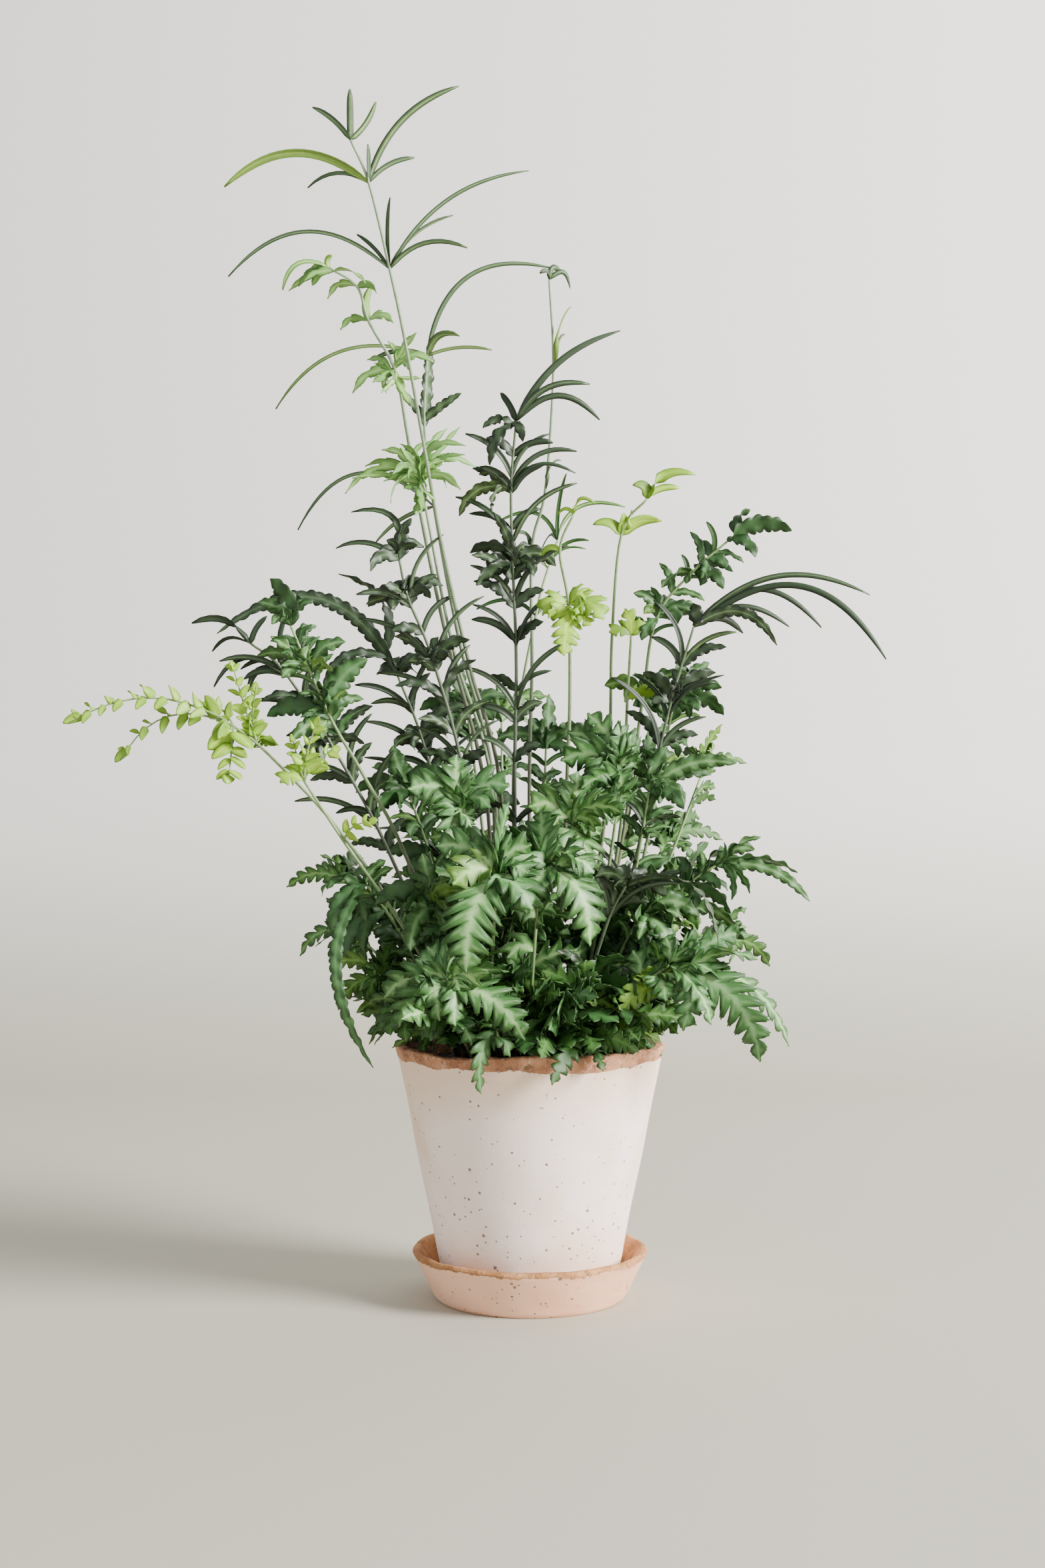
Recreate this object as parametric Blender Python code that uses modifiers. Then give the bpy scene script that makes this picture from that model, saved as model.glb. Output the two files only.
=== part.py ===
"""A lace fern in a tapered terracotta pot on its saucer.

Metres, +Z up. The origin is the middle of the saucer's underside, and the
front of the plant faces -Y. Every frond is one closed solid: a stalk with
its leaflets, grown as a thin sheet and given its thickness.
"""

import math

import bmesh
import bpy
from mathutils import Matrix, Vector
from mathutils.bvhtree import BVHTree

MM = 0.001

# Pot
POT_RIM_RADIUS = 0.080
POT_BASE_RADIUS = 0.0515
POT_HEIGHT = 0.143
POT_WALL = 0.0065
POT_FLOOR = 0.009
POT_RIM_BEVEL = 0.0013
DRAIN_RADIUS = 0.009

# Saucer, which the pot's foot stands in with room to spare
SAUCER_FOOT_ROOM = 0.005
SAUCER_FLARE = 0.0135
SAUCER_HEIGHT = 0.029
SAUCER_WALL = 0.005
SAUCER_FLOOR = 0.008
SAUCER_RIM_BEVEL = 0.001
SAUCER_FOOT_RADIUS = POT_BASE_RADIUS + SAUCER_FOOT_ROOM
SAUCER_RIM_RADIUS = SAUCER_FOOT_RADIUS + SAUCER_FLARE

# Potting mix and plant
SOIL_DEPTH_BELOW_RIM = 0.012
STALK_WIDTH = 0.0022
STALK_COLLAR = 0.005
BLADE_THICKNESS = 0.0009
TIP_HALF_WIDTH = 0.0006

# A leaflet's stiff core: its share of the blade's width, its width where it
# starts as a share of its widest, how far its arch leans out from the pot,
# and the sections it has when its arch is flatter or higher than HIGH_ARCH
BLADE_CORE = 0.45
BLADE_START = 0.25
ARCH_LEAN = 0.35
HIGH_ARCH = 0.012
FLAT_SECTIONS = 2
ARCHED_SECTIONS = 4

# Fronds that end further back than this turn their flat side to the back
BACK_EDGE = 0.045

# Clearances between pieces that rest on or in each other
REST_GAP = 0.0003
SOIL_SIDE_GAP = 0.0004
FROND_FOOT_GAP = 0.0006
FROND_CLEARANCE = 0.0004

# Steps round a turned shape, and the length of stalk that one leaflet grows from
ROUND_STEPS = 44
SLOT = 0.003

# Rim radius that the rows below are laid out round
TABLE_RIM_RADIUS = 0.080

# A frond that would touch a neighbour is turned about its foot, in degrees
TURN_STEP = 3
TURN_LIMIT = 60

pot_bottom = SAUCER_FLOOR + REST_GAP
rim_top = pot_bottom + POT_HEIGHT
soil_top = rim_top - SOIL_DEPTH_BELOW_RIM

# One row for each frond, in millimetres, with heights above the pot's rim:
# name, foot (x, y), points up the stalk, then leaflets. A leaflet gives the
# stalk point it grows from, how far its tip reaches in x, y and z, how far
# its middle arches above the straight line, and its width.
FRONDS = [
    ("tall_1", (-15, -3),
     [(-17, -12, 146), (-35, -30, 220), (-50, -50, 286), (-60, -70, 343), (-69, -90, 394),
      (-76, -103, 427), (-86, -118, 468), (-95, -125, 488)],
     [(6, -86, -6, -6, 21, 3), (6, -18, 4, 20, 2, 3), (6, 1, -10, 35, 1, 4), (6, 42, -4, 10, 8, 4),
      (6, 34, 6, 31, 5, 4), (6, 75, 8, 56, 12, 3), (7, -75, -10, -6, 16, 6), (7, -33, 5, -1, 6, 3),
      (7, 0, -6, 18, 0, 4), (7, 24, 5, 15, 3, 4), (7, 48, -5, 49, 9, 5), (8, -20, 0, 17, 2, 4),
      (8, 13, 5, 22, -2, 4), (8, 0, -4, 25, 0, 5)]),
    ("tall_2", (-18, 5),
     [(-21, 6, 148), (-42, -8, 238), (-56, -25, 314), (-61, -35, 358), (-59, -42, 397)],
     [(3, -80, 5, -13, 26, 3), (3, -35, 8, -20, 4, 4), (4, 4, -8, 49, 0, 8), (5, -86, -6, -32, 18, 3),
      (5, 37, 6, 5, 3, 3), (5, 74, 10, 53, 24, 4), (5, -32, 8, 0, 4, 4), (5, 19, -8, 9, 6, 6)]),
    ("pale_1", (-20, 11),
     [(-26, 10, 144), (-50, -12, 242), (-64, -38, 312), (-70, -52, 351), (-76, -65, 383),
      (-90, -72, 408), (-96, -76, 426), (-111, -80, 435)],
     [(5, -24, 5, -12, 5, 9), (5, 22, -4, 3, 6, 9), (5, 13, -10, 18, 2, 8), (5, -11, -15, -11, 0, 8),
      (5, 10, -12, -23, -3, 8), (6, -16, 3, -4, 4, 8), (6, 14, -4, -2, 4, 8), (6, 2, 0, 20, 3, 6),
      (7, -17, 6, -5, 5, 7), (7, 11, -4, -5, 3, 6), (8, -10, 5, -8, 2, 6), (8, 2, -3, 6, 2, 5),
      (8, -25, -6, -14, 9, 4)]),
    ("pale_2", (-21, -10),
     [(-22, -18, 147), (-44, -32, 228), (-57, -48, 295), (-62, -58, 324)],
     [(4, -42, -4, -10, 10, 10), (4, -32, 8, 8, 6, 9), (4, 31, 6, 7, 8, 10), (4, 26, -8, 16, 10, 9),
      (4, 15, 6, 29, 4, 9), (4, 1, -16, -21, -2, 13), (4, -11, -4, 18, 4, 10), (4, -15, -12, -1, 6, 9),
      (4, 23, -10, -9, 5, 9)]),
    ("tall_3", (1, 13),
     [(0, 16, 144), (1, 10, 224), (0, 2, 293), (7, -8, 327), (10, -22, 393), (6, -36, 443)],
     [(6, 7, 4, 7, 4, 5), (6, -6, -4, 2, 3, 4), (6, 13, 6, -3, 7, 4), (5, 11, 4, 40, 12, 5),
      (5, 8, 8, 25, 9, 3), (4, 10, 6, 19, 8, 4), (3, -10, -6, 9, 6, 4)]),
    ("dark_1", (-7, -11),
     [(-9, -18, 143), (-8, -24, 221), (-10, -30, 278), (-11, -38, 322), (-8, -45, 359)],
     [(5, 60, 8, 54, 10, 6), (5, 42, -4, 20, 9, 5), (5, 48, 6, 2, 14, 5), (5, -15, -8, -27, 6, 8),
      (5, -9, 4, 17, 2, 6), (4, 38, 4, 22, 9, 5), (4, 37, -8, 7, 10, 5), (4, -30, 6, -15, 8, 8),
      (4, -18, -6, 11, 3, 6), (3, -25, 6, 9, 8, 10), (3, 25, 4, 1, 8, 10), (3, -11, -8, 30, 3, 7),
      (3, -21, -8, -12, 4, 10)]),
    ("dark_2", (-24, -18),
     [(-37, -26, 143), (-56, -38, 220), (-71, -46, 257), (-76, -52, 278)],
     [(4, -27, -4, 26, 14, 6), (4, -36, 5, 7, 6, 5), (4, -16, -10, -8, 6, 8), (4, 14, 4, 8, 6, 8),
      (4, 7, -4, 23, 3, 9), (3, -23, 6, -4, 6, 10), (3, 20, 4, 8, 6, 10), (3, -13, -8, 6, 2, 8),
      (2, -23, 4, 17, 4, 9), (2, 20, -6, 14, 5, 9)]),
    ("green_1", (-30, -14),
     [(-71, -32, 108), (-95, -45, 156), (-112, -52, 186), (-124, -56, 214), (-135, -60, 240)],
     [(5, -11, -4, 26, 4, 12), (5, -19, 4, 14, 4, 9), (5, 13, -4, 13, 4, 9), (4, -31, 4, 10, 6, 12),
      (4, 20, -4, 17, 6, 12), (4, -22, -6, 20, 2, 8), (3, -38, 4, 4, 8, 13), (3, 20, -2, 36, 8, 15),
      (3, -22, -8, -10, 4, 10), (3, 17, 6, 14, 6, 10)]),
    ("dark_3", (-35, -5),
     [(-81, -14, 108), (-115, -26, 174), (-142, -38, 217), (-160, -44, 232)],
     [(4, -33, -4, 11, 8, 6), (4, -23, 6, -4, 6, 4), (4, 10, -4, 15, 2, 5), (3, -39, -6, -10, 12, 4),
      (3, -21, 4, -12, 8, 6), (3, 17, 4, 18, 4, 8), (3, -25, 2, 1, 6, 5), (2, 23, 4, 24, 5, 9),
      (2, -19, -4, -12, 5, 9)]),
    ("dark_4", (-29, 10),
     [(-51, 14, 124), (-65, 8, 181), (-79, -2, 218)],
     [(3, -105, -14, 23, 34, 7), (3, 17, 4, 12, 4, 8), (3, -13, 8, 1, 4, 8), (2, 27, 5, 20, 6, 10),
      (2, -17, -5, -7, 4, 9)]),
    ("lime_1", (-29, -27),
     [(-73, -40, 70), (-92, -46, 102), (-115, -52, 133), (-134, -58, 154), (-154, -62, 174),
      (-166, -66, 183)],
     [(6, -90, -10, 1, 15, 13), (6, -65, 6, -19, 16, 12), (6, -1, -12, -30, 0, 17),
      (5, -14, 4, 44, 2, 11), (5, 1, -6, 31, 2, 10), (5, 5, 4, -2, 6, 12), (6, -21, 8, 14, 5, 9)]),
    ("lime_2", (-27, -34),
     [(-70, -54, 67), (-105, -62, 119), (-126, -70, 152)],
     [(3, 8, -4, 33, 2, 12), (3, -13, -4, -1, 4, 11), (3, 18, 2, 17, 4, 12), (3, -7, 4, 24, 2, 9),
      (2, 17, -4, 10, 4, 10)]),
    ("lime_3", (25, 10),
     [(44, 8, 124), (48, 4, 184), (49, -2, 242), (54, -12, 300), (69, -18, 320)],
     [(5, 28, -4, 13, 8, 7), (5, -9, -4, 7, 4, 7), (5, 19, 4, 7, 3, 6), (4, -17, -4, 5, 4, 8),
      (4, 1, -4, 12, 1, 7), (4, 24, 2, 8, 4, 8)]),
    ("lime_4", (16, -21),
     [(21, -28, 143), (23, -32, 201), (22, -38, 255), (17, -42, 286), (25, -46, 306)],
     [(5, 12, -4, 5, 6, 3), (5, -9, 4, 0, 3, 3), (3, 20, -10, -10, 6, 14), (3, -15, -4, -7, 6, 11),
      (3, -3, -14, -31, 2, 14), (3, 14, 4, 5, 4, 9), (4, -10, 4, -3, 3, 5)]),
    ("lime_5", (32, -6),
     [(53, -14, 124), (57, -20, 202), (59, -24, 239)],
     [(3, -4, -4, 15, 2, 9), (3, -13, -4, 1, 3, 9), (3, 10, 2, 6, 3, 8), (2, 17, -4, 2, 3, 9)]),
    ("green_2", (31, 2),
     [(55, -6, 124), (65, -14, 202), (72, -22, 250), (92, -30, 276), (111, -36, 293)],
     [(5, 37, -6, 6, 7, 12), (4, -19, -4, -10, 4, 12), (4, 19, 4, -9, 5, 12), (3, -14, -2, 14, 5, 12),
      (3, 26, 4, 1, 6, 13), (3, -10, -6, -14, 3, 10), (2, -22, 4, 9, 6, 12), (2, 27, -4, 16, 6, 12)]),
    ("dark_5", (38, -14),
     [(65, -26, 124), (81, -32, 197), (94, -40, 242)],
     [(3, 99, -10, 17, 20, 5), (3, 106, -22, -21, 33, 6), (3, 56, 8, 1, 12, 5), (3, 74, 4, 0, 22, 5),
      (3, 46, -12, -12, 14, 7), (3, 30, 14, -2, 7, 6), (3, -1, -4, 13, 2, 9), (2, 27, 5, 20, 6, 10),
      (2, -16, -5, 19, 5, 10)]),
    ("green_3", (41, 8),
     [(67, 4, 104), (78, 0, 164), (84, -6, 199)],
     [(3, 30, -4, -5, 8, 13), (3, 23, 4, 27, 4, 12), (3, 3, -2, 30, 3, 12), (3, -20, 4, 18, 6, 12),
      (3, -25, -6, 0, 5, 12), (3, 28, -8, 11, 7, 11)]),
    ("green_4", (40, -24),
     [(61, -38, 104), (68, -44, 147)],
     [(2, 49, -6, 16, 8, 11), (2, 36, 4, 10, 6, 10), (2, 19, -10, -10, 5, 10), (2, 10, -4, 26, 2, 11),
      (2, -16, 4, 19, 5, 11)]),
    ("silver_1", (25, -30),
     [(45, -46, 105), (51, -54, 155)],
     [(2, -34, -6, 9, 9, 16), (2, -30, 4, 26, 7, 14), (2, -19, -4, 36, 5, 13), (2, -2, -6, 30, 3, 14),
      (2, 12, 2, 21, 5, 13), (2, -23, -12, -7, 4, 14)]),
    ("green_5", (33, -18),
     [(63, -36, 58), (85, -50, 91), (103, -58, 105)],
     [(3, 46, -4, -4, 6, 9), (3, 52, -8, -20, 9, 8), (3, 23, 4, 9, 5, 10), (2, 16, 6, 27, 6, 12),
      (2, 26, -10, -13, 6, 11)]),
    ("dark_6", (21, -37),
     [(41, -64, 67), (53, -74, 94)],
     [(2, 50, -14, -34, 22, 7), (2, 23, 6, -6, 5, 10), (2, 4, 4, 16, 2, 10), (2, -18, -6, 5, 5, 10)]),
    ("silver_2", (27, -42),
     [(57, -70, 34), (75, -80, 50)],
     [(2, 48, -14, -52, 14, 16), (2, 68, 6, -46, 16, 13), (2, 36, 8, -12, 8, 12),
      (1, 23, 6, 33, 5, 13), (2, 20, -20, -31, 6, 12)]),
    ("green_6", (-39, -13),
     [(-77, -32, 62), (-101, -44, 95)],
     [(2, -17, -8, -33, 10, 10), (2, 1, -26, -101, 34, 8), (2, -21, 4, 0, 4, 9),
      (2, 11, -4, 13, 2, 10), (1, -19, -8, 4, 4, 11), (1, 17, 4, 23, 5, 11)]),
    ("silver_3", (-25, -48),
     [(-21, -78, 57), (-18, -92, 101)],
     [(2, -16, -24, -53, 14, 20), (2, 16, -10, -22, 9, 16), (2, 6, 4, 39, 3, 15),
      (2, -34, 2, 15, 7, 14), (2, -24, -14, -6, 6, 14), (2, 27, 4, 4, 8, 14)]),
    ("silver_4", (-2, -45),
     [(2, -74, 57), (6, -84, 105)],
     [(2, 26, -18, -43, 16, 17), (2, 21, -2, -16, 9, 14), (2, 0, 4, 31, 2, 15), (2, -25, 8, 15, 6, 13),
      (2, 25, 6, 7, 7, 13), (1, -15, -10, -3, 6, 13)]),
    ("silver_5", (-30, -51),
     [(-47, -82, 28), (-45, -90, 41)],
     [(2, 42, -10, -30, 9, 14), (2, -27, 2, -24, 7, 13), (2, -12, 6, 20, 3, 13),
      (2, -36, 8, -9, 8, 12), (2, 18, -10, -1, 6, 13)]),
    ("green_7", (-12, -53),
     [(-19, -82, 15)],
     [(1, -8, -10, -34, 10, 13), (1, 17, -2, 9, 6, 11), (1, -16, 2, 16, 6, 11), (1, 5, 4, 24, 1, 11)]),
    ("green_8", (-37, 3),
     [(-70, 0, 48), (-83, -8, 77)],
     [(2, -33, -4, -4, 7, 12), (2, -24, -14, -27, 9, 12), (2, -10, 4, 27, 3, 12),
      (2, 21, 6, 15, 5, 12), (2, 7, -20, -35, 6, 11)]),
    ("green_9", (33, 14),
     [(67, 18, 47), (83, 12, 76)],
     [(2, 43, -4, -12, 9, 12), (2, 32, 4, 16, 5, 12), (2, -1, -4, 32, 3, 12), (2, -28, 4, 16, 5, 12),
      (2, 22, -18, -31, 8, 11)]),
    ("back_1", (-22, 22),
     [(-52, 60, 90), (-70, 92, 150)],
     [(2, -34, 22, 18, 8, 13), (2, 26, 18, 30, 6, 13), (2, -6, 36, 4, 8, 15), (1, 26, 30, 12, 6, 12),
      (1, -36, 14, 6, 7, 12)]),
    ("back_2", (-8, 26),
     [(-16, 62, 110), (-18, 90, 196)],
     [(2, -32, 10, 16, 8, 13), (2, 30, 12, 18, 8, 13), (2, 2, 30, 26, 6, 14), (1, 26, 22, 22, 6, 12),
      (1, -30, 16, 10, 7, 12)]),
    ("back_3", (10, 28),
     [(22, 70, 90), (34, 108, 140)],
     [(2, 34, 18, 8, 8, 13), (2, -28, 22, 16, 8, 13), (2, 8, 38, 4, 8, 15), (1, 32, 10, 20, 6, 12),
      (1, -24, 26, 4, 7, 12)]),
    ("back_4", (26, 20),
     [(62, 56, 76), (88, 84, 118)],
     [(2, 38, 14, 2, 8, 13), (2, -14, 34, 16, 8, 13), (2, 24, 30, 10, 8, 15), (1, 30, -6, 24, 6, 12),
      (1, -16, 32, 8, 7, 12)]),
    ("back_5", (-34, 14),
     [(-84, 40, 60), (-114, 62, 92)],
     [(2, -40, 4, -2, 8, 13), (2, 6, 34, 16, 8, 13), (2, -24, 26, 4, 8, 15), (1, -26, -14, 20, 6, 12),
      (1, 8, 34, 4, 7, 12)]),
    ("back_6", (-18, 36),
     [(-36, 78, 38), (-46, 108, 48)],
     [(2, -30, 16, -20, 9, 15), (2, 28, 14, -12, 9, 14), (2, -4, 32, -26, 10, 16), (1, 26, 16, 14, 6, 12),
      (1, -30, 6, 8, 7, 12)]),
    ("back_7", (18, 38),
     [(42, 80, 34), (56, 110, 42)],
     [(2, 34, 10, -16, 9, 15), (2, -26, 18, -14, 9, 14), (2, 10, 34, -28, 10, 16), (1, 30, 2, 16, 6, 12),
      (1, -26, 20, 8, 7, 12)]),
    ("back_8", (2, 40),
     [(0, 86, 66), (-2, 120, 92)],
     [(2, -30, 14, -4, 9, 14), (2, 28, 16, -6, 9, 14), (2, 2, 38, -10, 10, 16), (1, 28, 12, 18, 6, 12),
      (1, -28, 14, 16, 7, 12)]),
    ("back_9", (-4, 12),
     [(-10, 40, 160), (4, 66, 262), (18, 78, 312)],
     [(3, 44, 14, 24, 14, 5), (3, -40, 18, 14, 14, 5), (3, 6, 16, 46, 2, 5), (2, 36, 20, 10, 9, 5),
      (2, -38, 14, 6, 9, 5), (3, -12, 30, -8, 10, 5)]),
    ("back_10", (34, 10),
     [(80, 34, 96), (104, 46, 158)],
     [(2, 30, 16, 10, 8, 12), (2, -10, 28, 18, 6, 12), (2, 14, 4, 34, 4, 12), (1, 26, 20, 6, 6, 12)]),
    ("low_1", (-30, -24),
     [(-52, -62, 18), (-62, -80, 24)],
     [(1, -30, -2, 10, 6, 12), (1, 22, -16, 12, 5, 12), (1, -26, -12, -14, 8, 12), (1, -4, -10, 22, 3, 12)]),
    ("low_2", (-12, -34),
     [(-24, -66, 30), (-26, -78, 44)],
     [(2, -24, -8, 8, 6, 13), (2, 20, -8, 14, 6, 13), (2, 0, -10, 24, 2, 13)]),
    ("low_3", (12, -36),
     [(22, -66, 22), (28, -82, 34)],
     [(2, -24, -6, -12, 6, 13), (2, 24, -8, 0, 6, 13), (2, 2, -12, 20, 3, 13), (2, -22, -8, 14, 3, 12)]),
    ("low_4", (30, -26),
     [(54, -58, 24), (66, -72, 38)],
     [(2, 26, -6, -12, 7, 13), (2, -22, -8, -16, 6, 13), (2, 22, -8, 16, 6, 13), (2, -4, -10, 26, 3, 13)]),
    ("low_5", (-38, -4),
     [(-68, -22, 30), (-84, -34, 40)],
     [(2, -26, -8, -18, 7, 12), (2, -30, 2, 8, 6, 12), (2, 18, -14, -12, 6, 12), (2, 6, -10, 22, 3, 12)]),
    ("low_6", (38, 0),
     [(70, -14, 30), (90, -24, 44)],
     [(2, 30, -8, -16, 7, 12), (2, 30, 2, 10, 6, 12), (2, -16, -12, -14, 6, 12), (2, 0, -6, 26, 3, 12)]),
    ("silver_6", (-16, -8),
     [(-34, -32, 92), (-40, -46, 138)],
     [(2, -32, -8, 10, 7, 14), (2, 26, -10, 12, 7, 14), (2, -8, -16, -28, 5, 15), (2, -4, -6, 30, 2, 13),
      (1, -26, -10, 4, 6, 12)]),
    ("silver_7", (12, -12),
     [(22, -42, 86), (28, -56, 128)],
     [(2, 30, -8, 6, 8, 14), (2, -24, -10, 10, 7, 14), (2, 10, -16, -28, 5, 15), (2, 4, -6, 30, 2, 13),
      (1, 26, -10, 4, 6, 12)]),
    ("green_10", (-22, -30),
     [(-44, -56, 56), (-54, -70, 84)],
     [(2, -32, -6, 0, 8, 13), (2, 22, -12, 4, 6, 13), (2, -12, -14, -26, 6, 13), (2, -6, -4, 28, 2, 13),
      (1, -24, 4, 10, 6, 12)]),
    ("green_11", (24, -14),
     [(48, -40, 52), (60, -54, 78)],
     [(2, 32, -4, -2, 8, 13), (2, -22, -12, 2, 6, 13), (2, 14, -14, -26, 6, 13), (2, 4, -6, 28, 2, 13),
      (1, 26, 6, 12, 6, 12)]),
    ("green_12", (-28, 4),
     [(-58, 4, 104), (-72, 0, 146)],
     [(2, -32, 4, 2, 8, 13), (2, 20, -8, 14, 6, 13), (2, -20, -14, -14, 6, 13), (2, -10, 2, 30, 3, 13),
      (1, -28, 8, 8, 6, 12)]),
    ("green_13", (28, 6),
     [(56, 12, 112), (66, 12, 160)],
     [(2, 30, 4, 4, 8, 13), (2, -22, -8, 14, 6, 13), (2, 20, -16, -14, 6, 13), (2, 8, 2, 30, 3, 13),
      (1, 26, 10, 10, 6, 12)]),
    ("green_14", (6, 8),
     [(8, 22, 116), (10, 32, 176)],
     [(2, 30, 6, 10, 7, 13), (2, -30, 4, 6, 7, 13), (2, 2, 4, 34, 2, 13), (1, 26, 8, 12, 6, 12),
      (1, -26, 10, 4, 6, 12)]),
    ("green_15", (-12, 12),
     [(-30, 24, 136), (-38, 30, 196)],
     [(2, -30, 6, 4, 7, 13), (2, 26, 4, 12, 7, 13), (2, -6, 4, 32, 2, 13), (1, -26, 8, 10, 6, 12),
      (1, 24, 10, 6, 6, 12)]),
    ("back_11", (38, 4),
     [(88, 16, 42), (112, 30, 56)],
     [(2, 34, 8, -14, 9, 14), (2, 6, 30, 0, 8, 13), (2, 16, -22, 4, 8, 13), (2, 20, 10, 22, 4, 12)]),
    ("back_12", (-38, 6),
     [(-86, 16, 44), (-108, 30, 62)],
     [(2, -34, 8, -14, 9, 14), (2, -6, 30, 0, 8, 13), (2, -14, -22, 4, 8, 13), (2, -18, 10, 22, 4, 12)]),
]

# Finish of each group of fronds: colour and roughness
FINISHES = {
    "tall": ((0.10, 0.16, 0.09), 0.5),
    "dark": ((0.05, 0.11, 0.05), 0.5),
    "pale": ((0.30, 0.48, 0.16), 0.5),
    "lime": ((0.38, 0.58, 0.06), 0.5),
    "green": ((0.06, 0.18, 0.06), 0.5),
    "silver": ((0.22, 0.36, 0.22), 0.5),
    "back": ((0.07, 0.20, 0.07), 0.5),
    "low": ((0.06, 0.20, 0.06), 0.5),
}


def clear_scene():
    for old in list(bpy.data.objects):
        bpy.data.objects.remove(old, do_unlink=True)


def finish(name, colour, roughness):
    material = bpy.data.materials.new(name)
    material.use_nodes = True
    shader = material.node_tree.nodes["Principled BSDF"]
    shader.inputs["Base Color"].default_value = (*colour, 1.0)
    shader.inputs["Roughness"].default_value = roughness
    shader.inputs["Metallic"].default_value = 0.0
    return material


def add_object(name, mesh, collection, material):
    thing = bpy.data.objects.new(name, mesh)
    thing.data.materials.append(material)
    collection.objects.link(thing)
    return thing


def turned(name, profile, closed, collection, material):
    """A shape turned on a wheel: the profile runs down its outer side."""
    mesh = bpy.data.meshes.new(name)
    edges = [(i, i + 1) for i in range(len(profile) - 1)]
    if closed:
        edges.append((len(profile) - 1, 0))
    mesh.from_pydata([(radius, 0.0, height) for radius, height in profile], edges, [])
    thing = add_object(name, mesh, collection, material)
    screw = thing.modifiers.new("Turned", "SCREW")
    screw.steps = ROUND_STEPS
    screw.render_steps = ROUND_STEPS
    screw.use_merge_vertices = True
    screw.merge_threshold = 0.00005
    screw.use_smooth_shade = True
    return thing


def make_saucer(collection):
    inner_rim = SAUCER_RIM_RADIUS - SAUCER_WALL
    inner_foot = SAUCER_FOOT_RADIUS - SAUCER_WALL * 0.5
    profile = [
        (0.0, SAUCER_FLOOR),
        (inner_foot, SAUCER_FLOOR),
        (inner_rim, SAUCER_HEIGHT),
        (SAUCER_RIM_RADIUS - SAUCER_RIM_BEVEL, SAUCER_HEIGHT),
        (SAUCER_RIM_RADIUS, SAUCER_HEIGHT - SAUCER_RIM_BEVEL * 1.5),
        (SAUCER_FOOT_RADIUS, 0.0),
        (0.0, 0.0),
    ]
    return turned("saucer", profile, False, collection, finish("Fired clay", (0.80, 0.60, 0.47), 0.8))


def pot_inner_radius(height):
    """Inside radius of the pot at a height above its underside."""
    share = height / POT_HEIGHT
    return POT_BASE_RADIUS + (POT_RIM_RADIUS - POT_BASE_RADIUS) * share - POT_WALL


def make_pot(collection):
    profile = [
        (POT_RIM_RADIUS - POT_WALL, rim_top),
        (POT_RIM_RADIUS - POT_RIM_BEVEL, rim_top),
        (POT_RIM_RADIUS, rim_top - POT_RIM_BEVEL * 1.5),
        (POT_BASE_RADIUS, pot_bottom),
        (DRAIN_RADIUS, pot_bottom),
        (DRAIN_RADIUS, pot_bottom + POT_FLOOR),
        (pot_inner_radius(POT_FLOOR), pot_bottom + POT_FLOOR),
    ]
    return turned("pot", profile, True, collection, finish("Limed terracotta", (0.82, 0.72, 0.64), 0.85))


def make_soil(collection):
    floor = pot_bottom + POT_FLOOR + REST_GAP
    top_radius = pot_inner_radius(POT_HEIGHT - SOIL_DEPTH_BELOW_RIM) - SOIL_SIDE_GAP
    floor_radius = pot_inner_radius(POT_FLOOR) - SOIL_SIDE_GAP
    profile = [(0.0, soil_top), (top_radius, soil_top), (floor_radius, floor), (0.0, floor)]
    return turned("potting_mix", profile, False, collection, finish("Potting mix", (0.03, 0.02, 0.015), 0.95))


def place(x, y, height):
    """A row's point in metres: what grows past the rim keeps its distance from it."""
    reach = math.hypot(x, y) * MM
    if reach < TABLE_RIM_RADIUS:
        share = POT_RIM_RADIUS / TABLE_RIM_RADIUS
    else:
        share = (reach + POT_RIM_RADIUS - TABLE_RIM_RADIUS) / reach
    return Vector((x * MM * share, y * MM * share, rim_top + height * MM))


def stalk_points(foot, points):
    """Points up a stalk, which leaves the potting mix straight up."""
    base = place(foot[0], foot[1], 0.0)
    base.z = soil_top + FROND_FOOT_GAP
    collar = base + Vector((0.0, 0.0, STALK_COLLAR))
    return [base, collar] + [place(*point) for point in points]


def facing_of(points):
    """The way a frond's flat side looks: forward, or back on the far side of the pot."""
    return Vector((0.0, 1.0 if points[-1].y > BACK_EDGE else -1.0, 0.0))


def leaflet_curve(base, reach, arch, share):
    """A point along a leaflet's midrib, which arches up and away from the pot."""
    line = reach.normalized()
    away = Vector((base.x, base.y, 0.0)).normalized() * ARCH_LEAN
    rise = Vector((0.0, 0.0, 1.0)) + away
    rise = (rise - line * rise.dot(line)).normalized()
    return base + reach * share + rise * arch * 4.0 * share * (1.0 - share)


def blade_half_width(width, share):
    """Half the width of a leaflet's core: narrow where it starts, wide before its middle, pointed."""
    outline = BLADE_START + (1.0 - BLADE_START) * math.sin(math.pi * min(1.0, share * 1.25 + 0.12))
    return max(0.5 * width * BLADE_CORE * outline, TIP_HALF_WIDTH)


def grow(sheet, edge):
    """Extrude an edge of the sheet: gives the new end that continues each old one."""
    ends = list(edge.verts)
    made = bmesh.ops.extrude_edge_only(sheet, edges=[edge])["geom"]
    fresh = [item for item in made if isinstance(item, bmesh.types.BMVert)]
    ahead = {}
    for vertex in fresh:
        for link in vertex.link_edges:
            other = link.other_vert(vertex)
            if other in ends:
                ahead[other] = vertex
    return ahead


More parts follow.
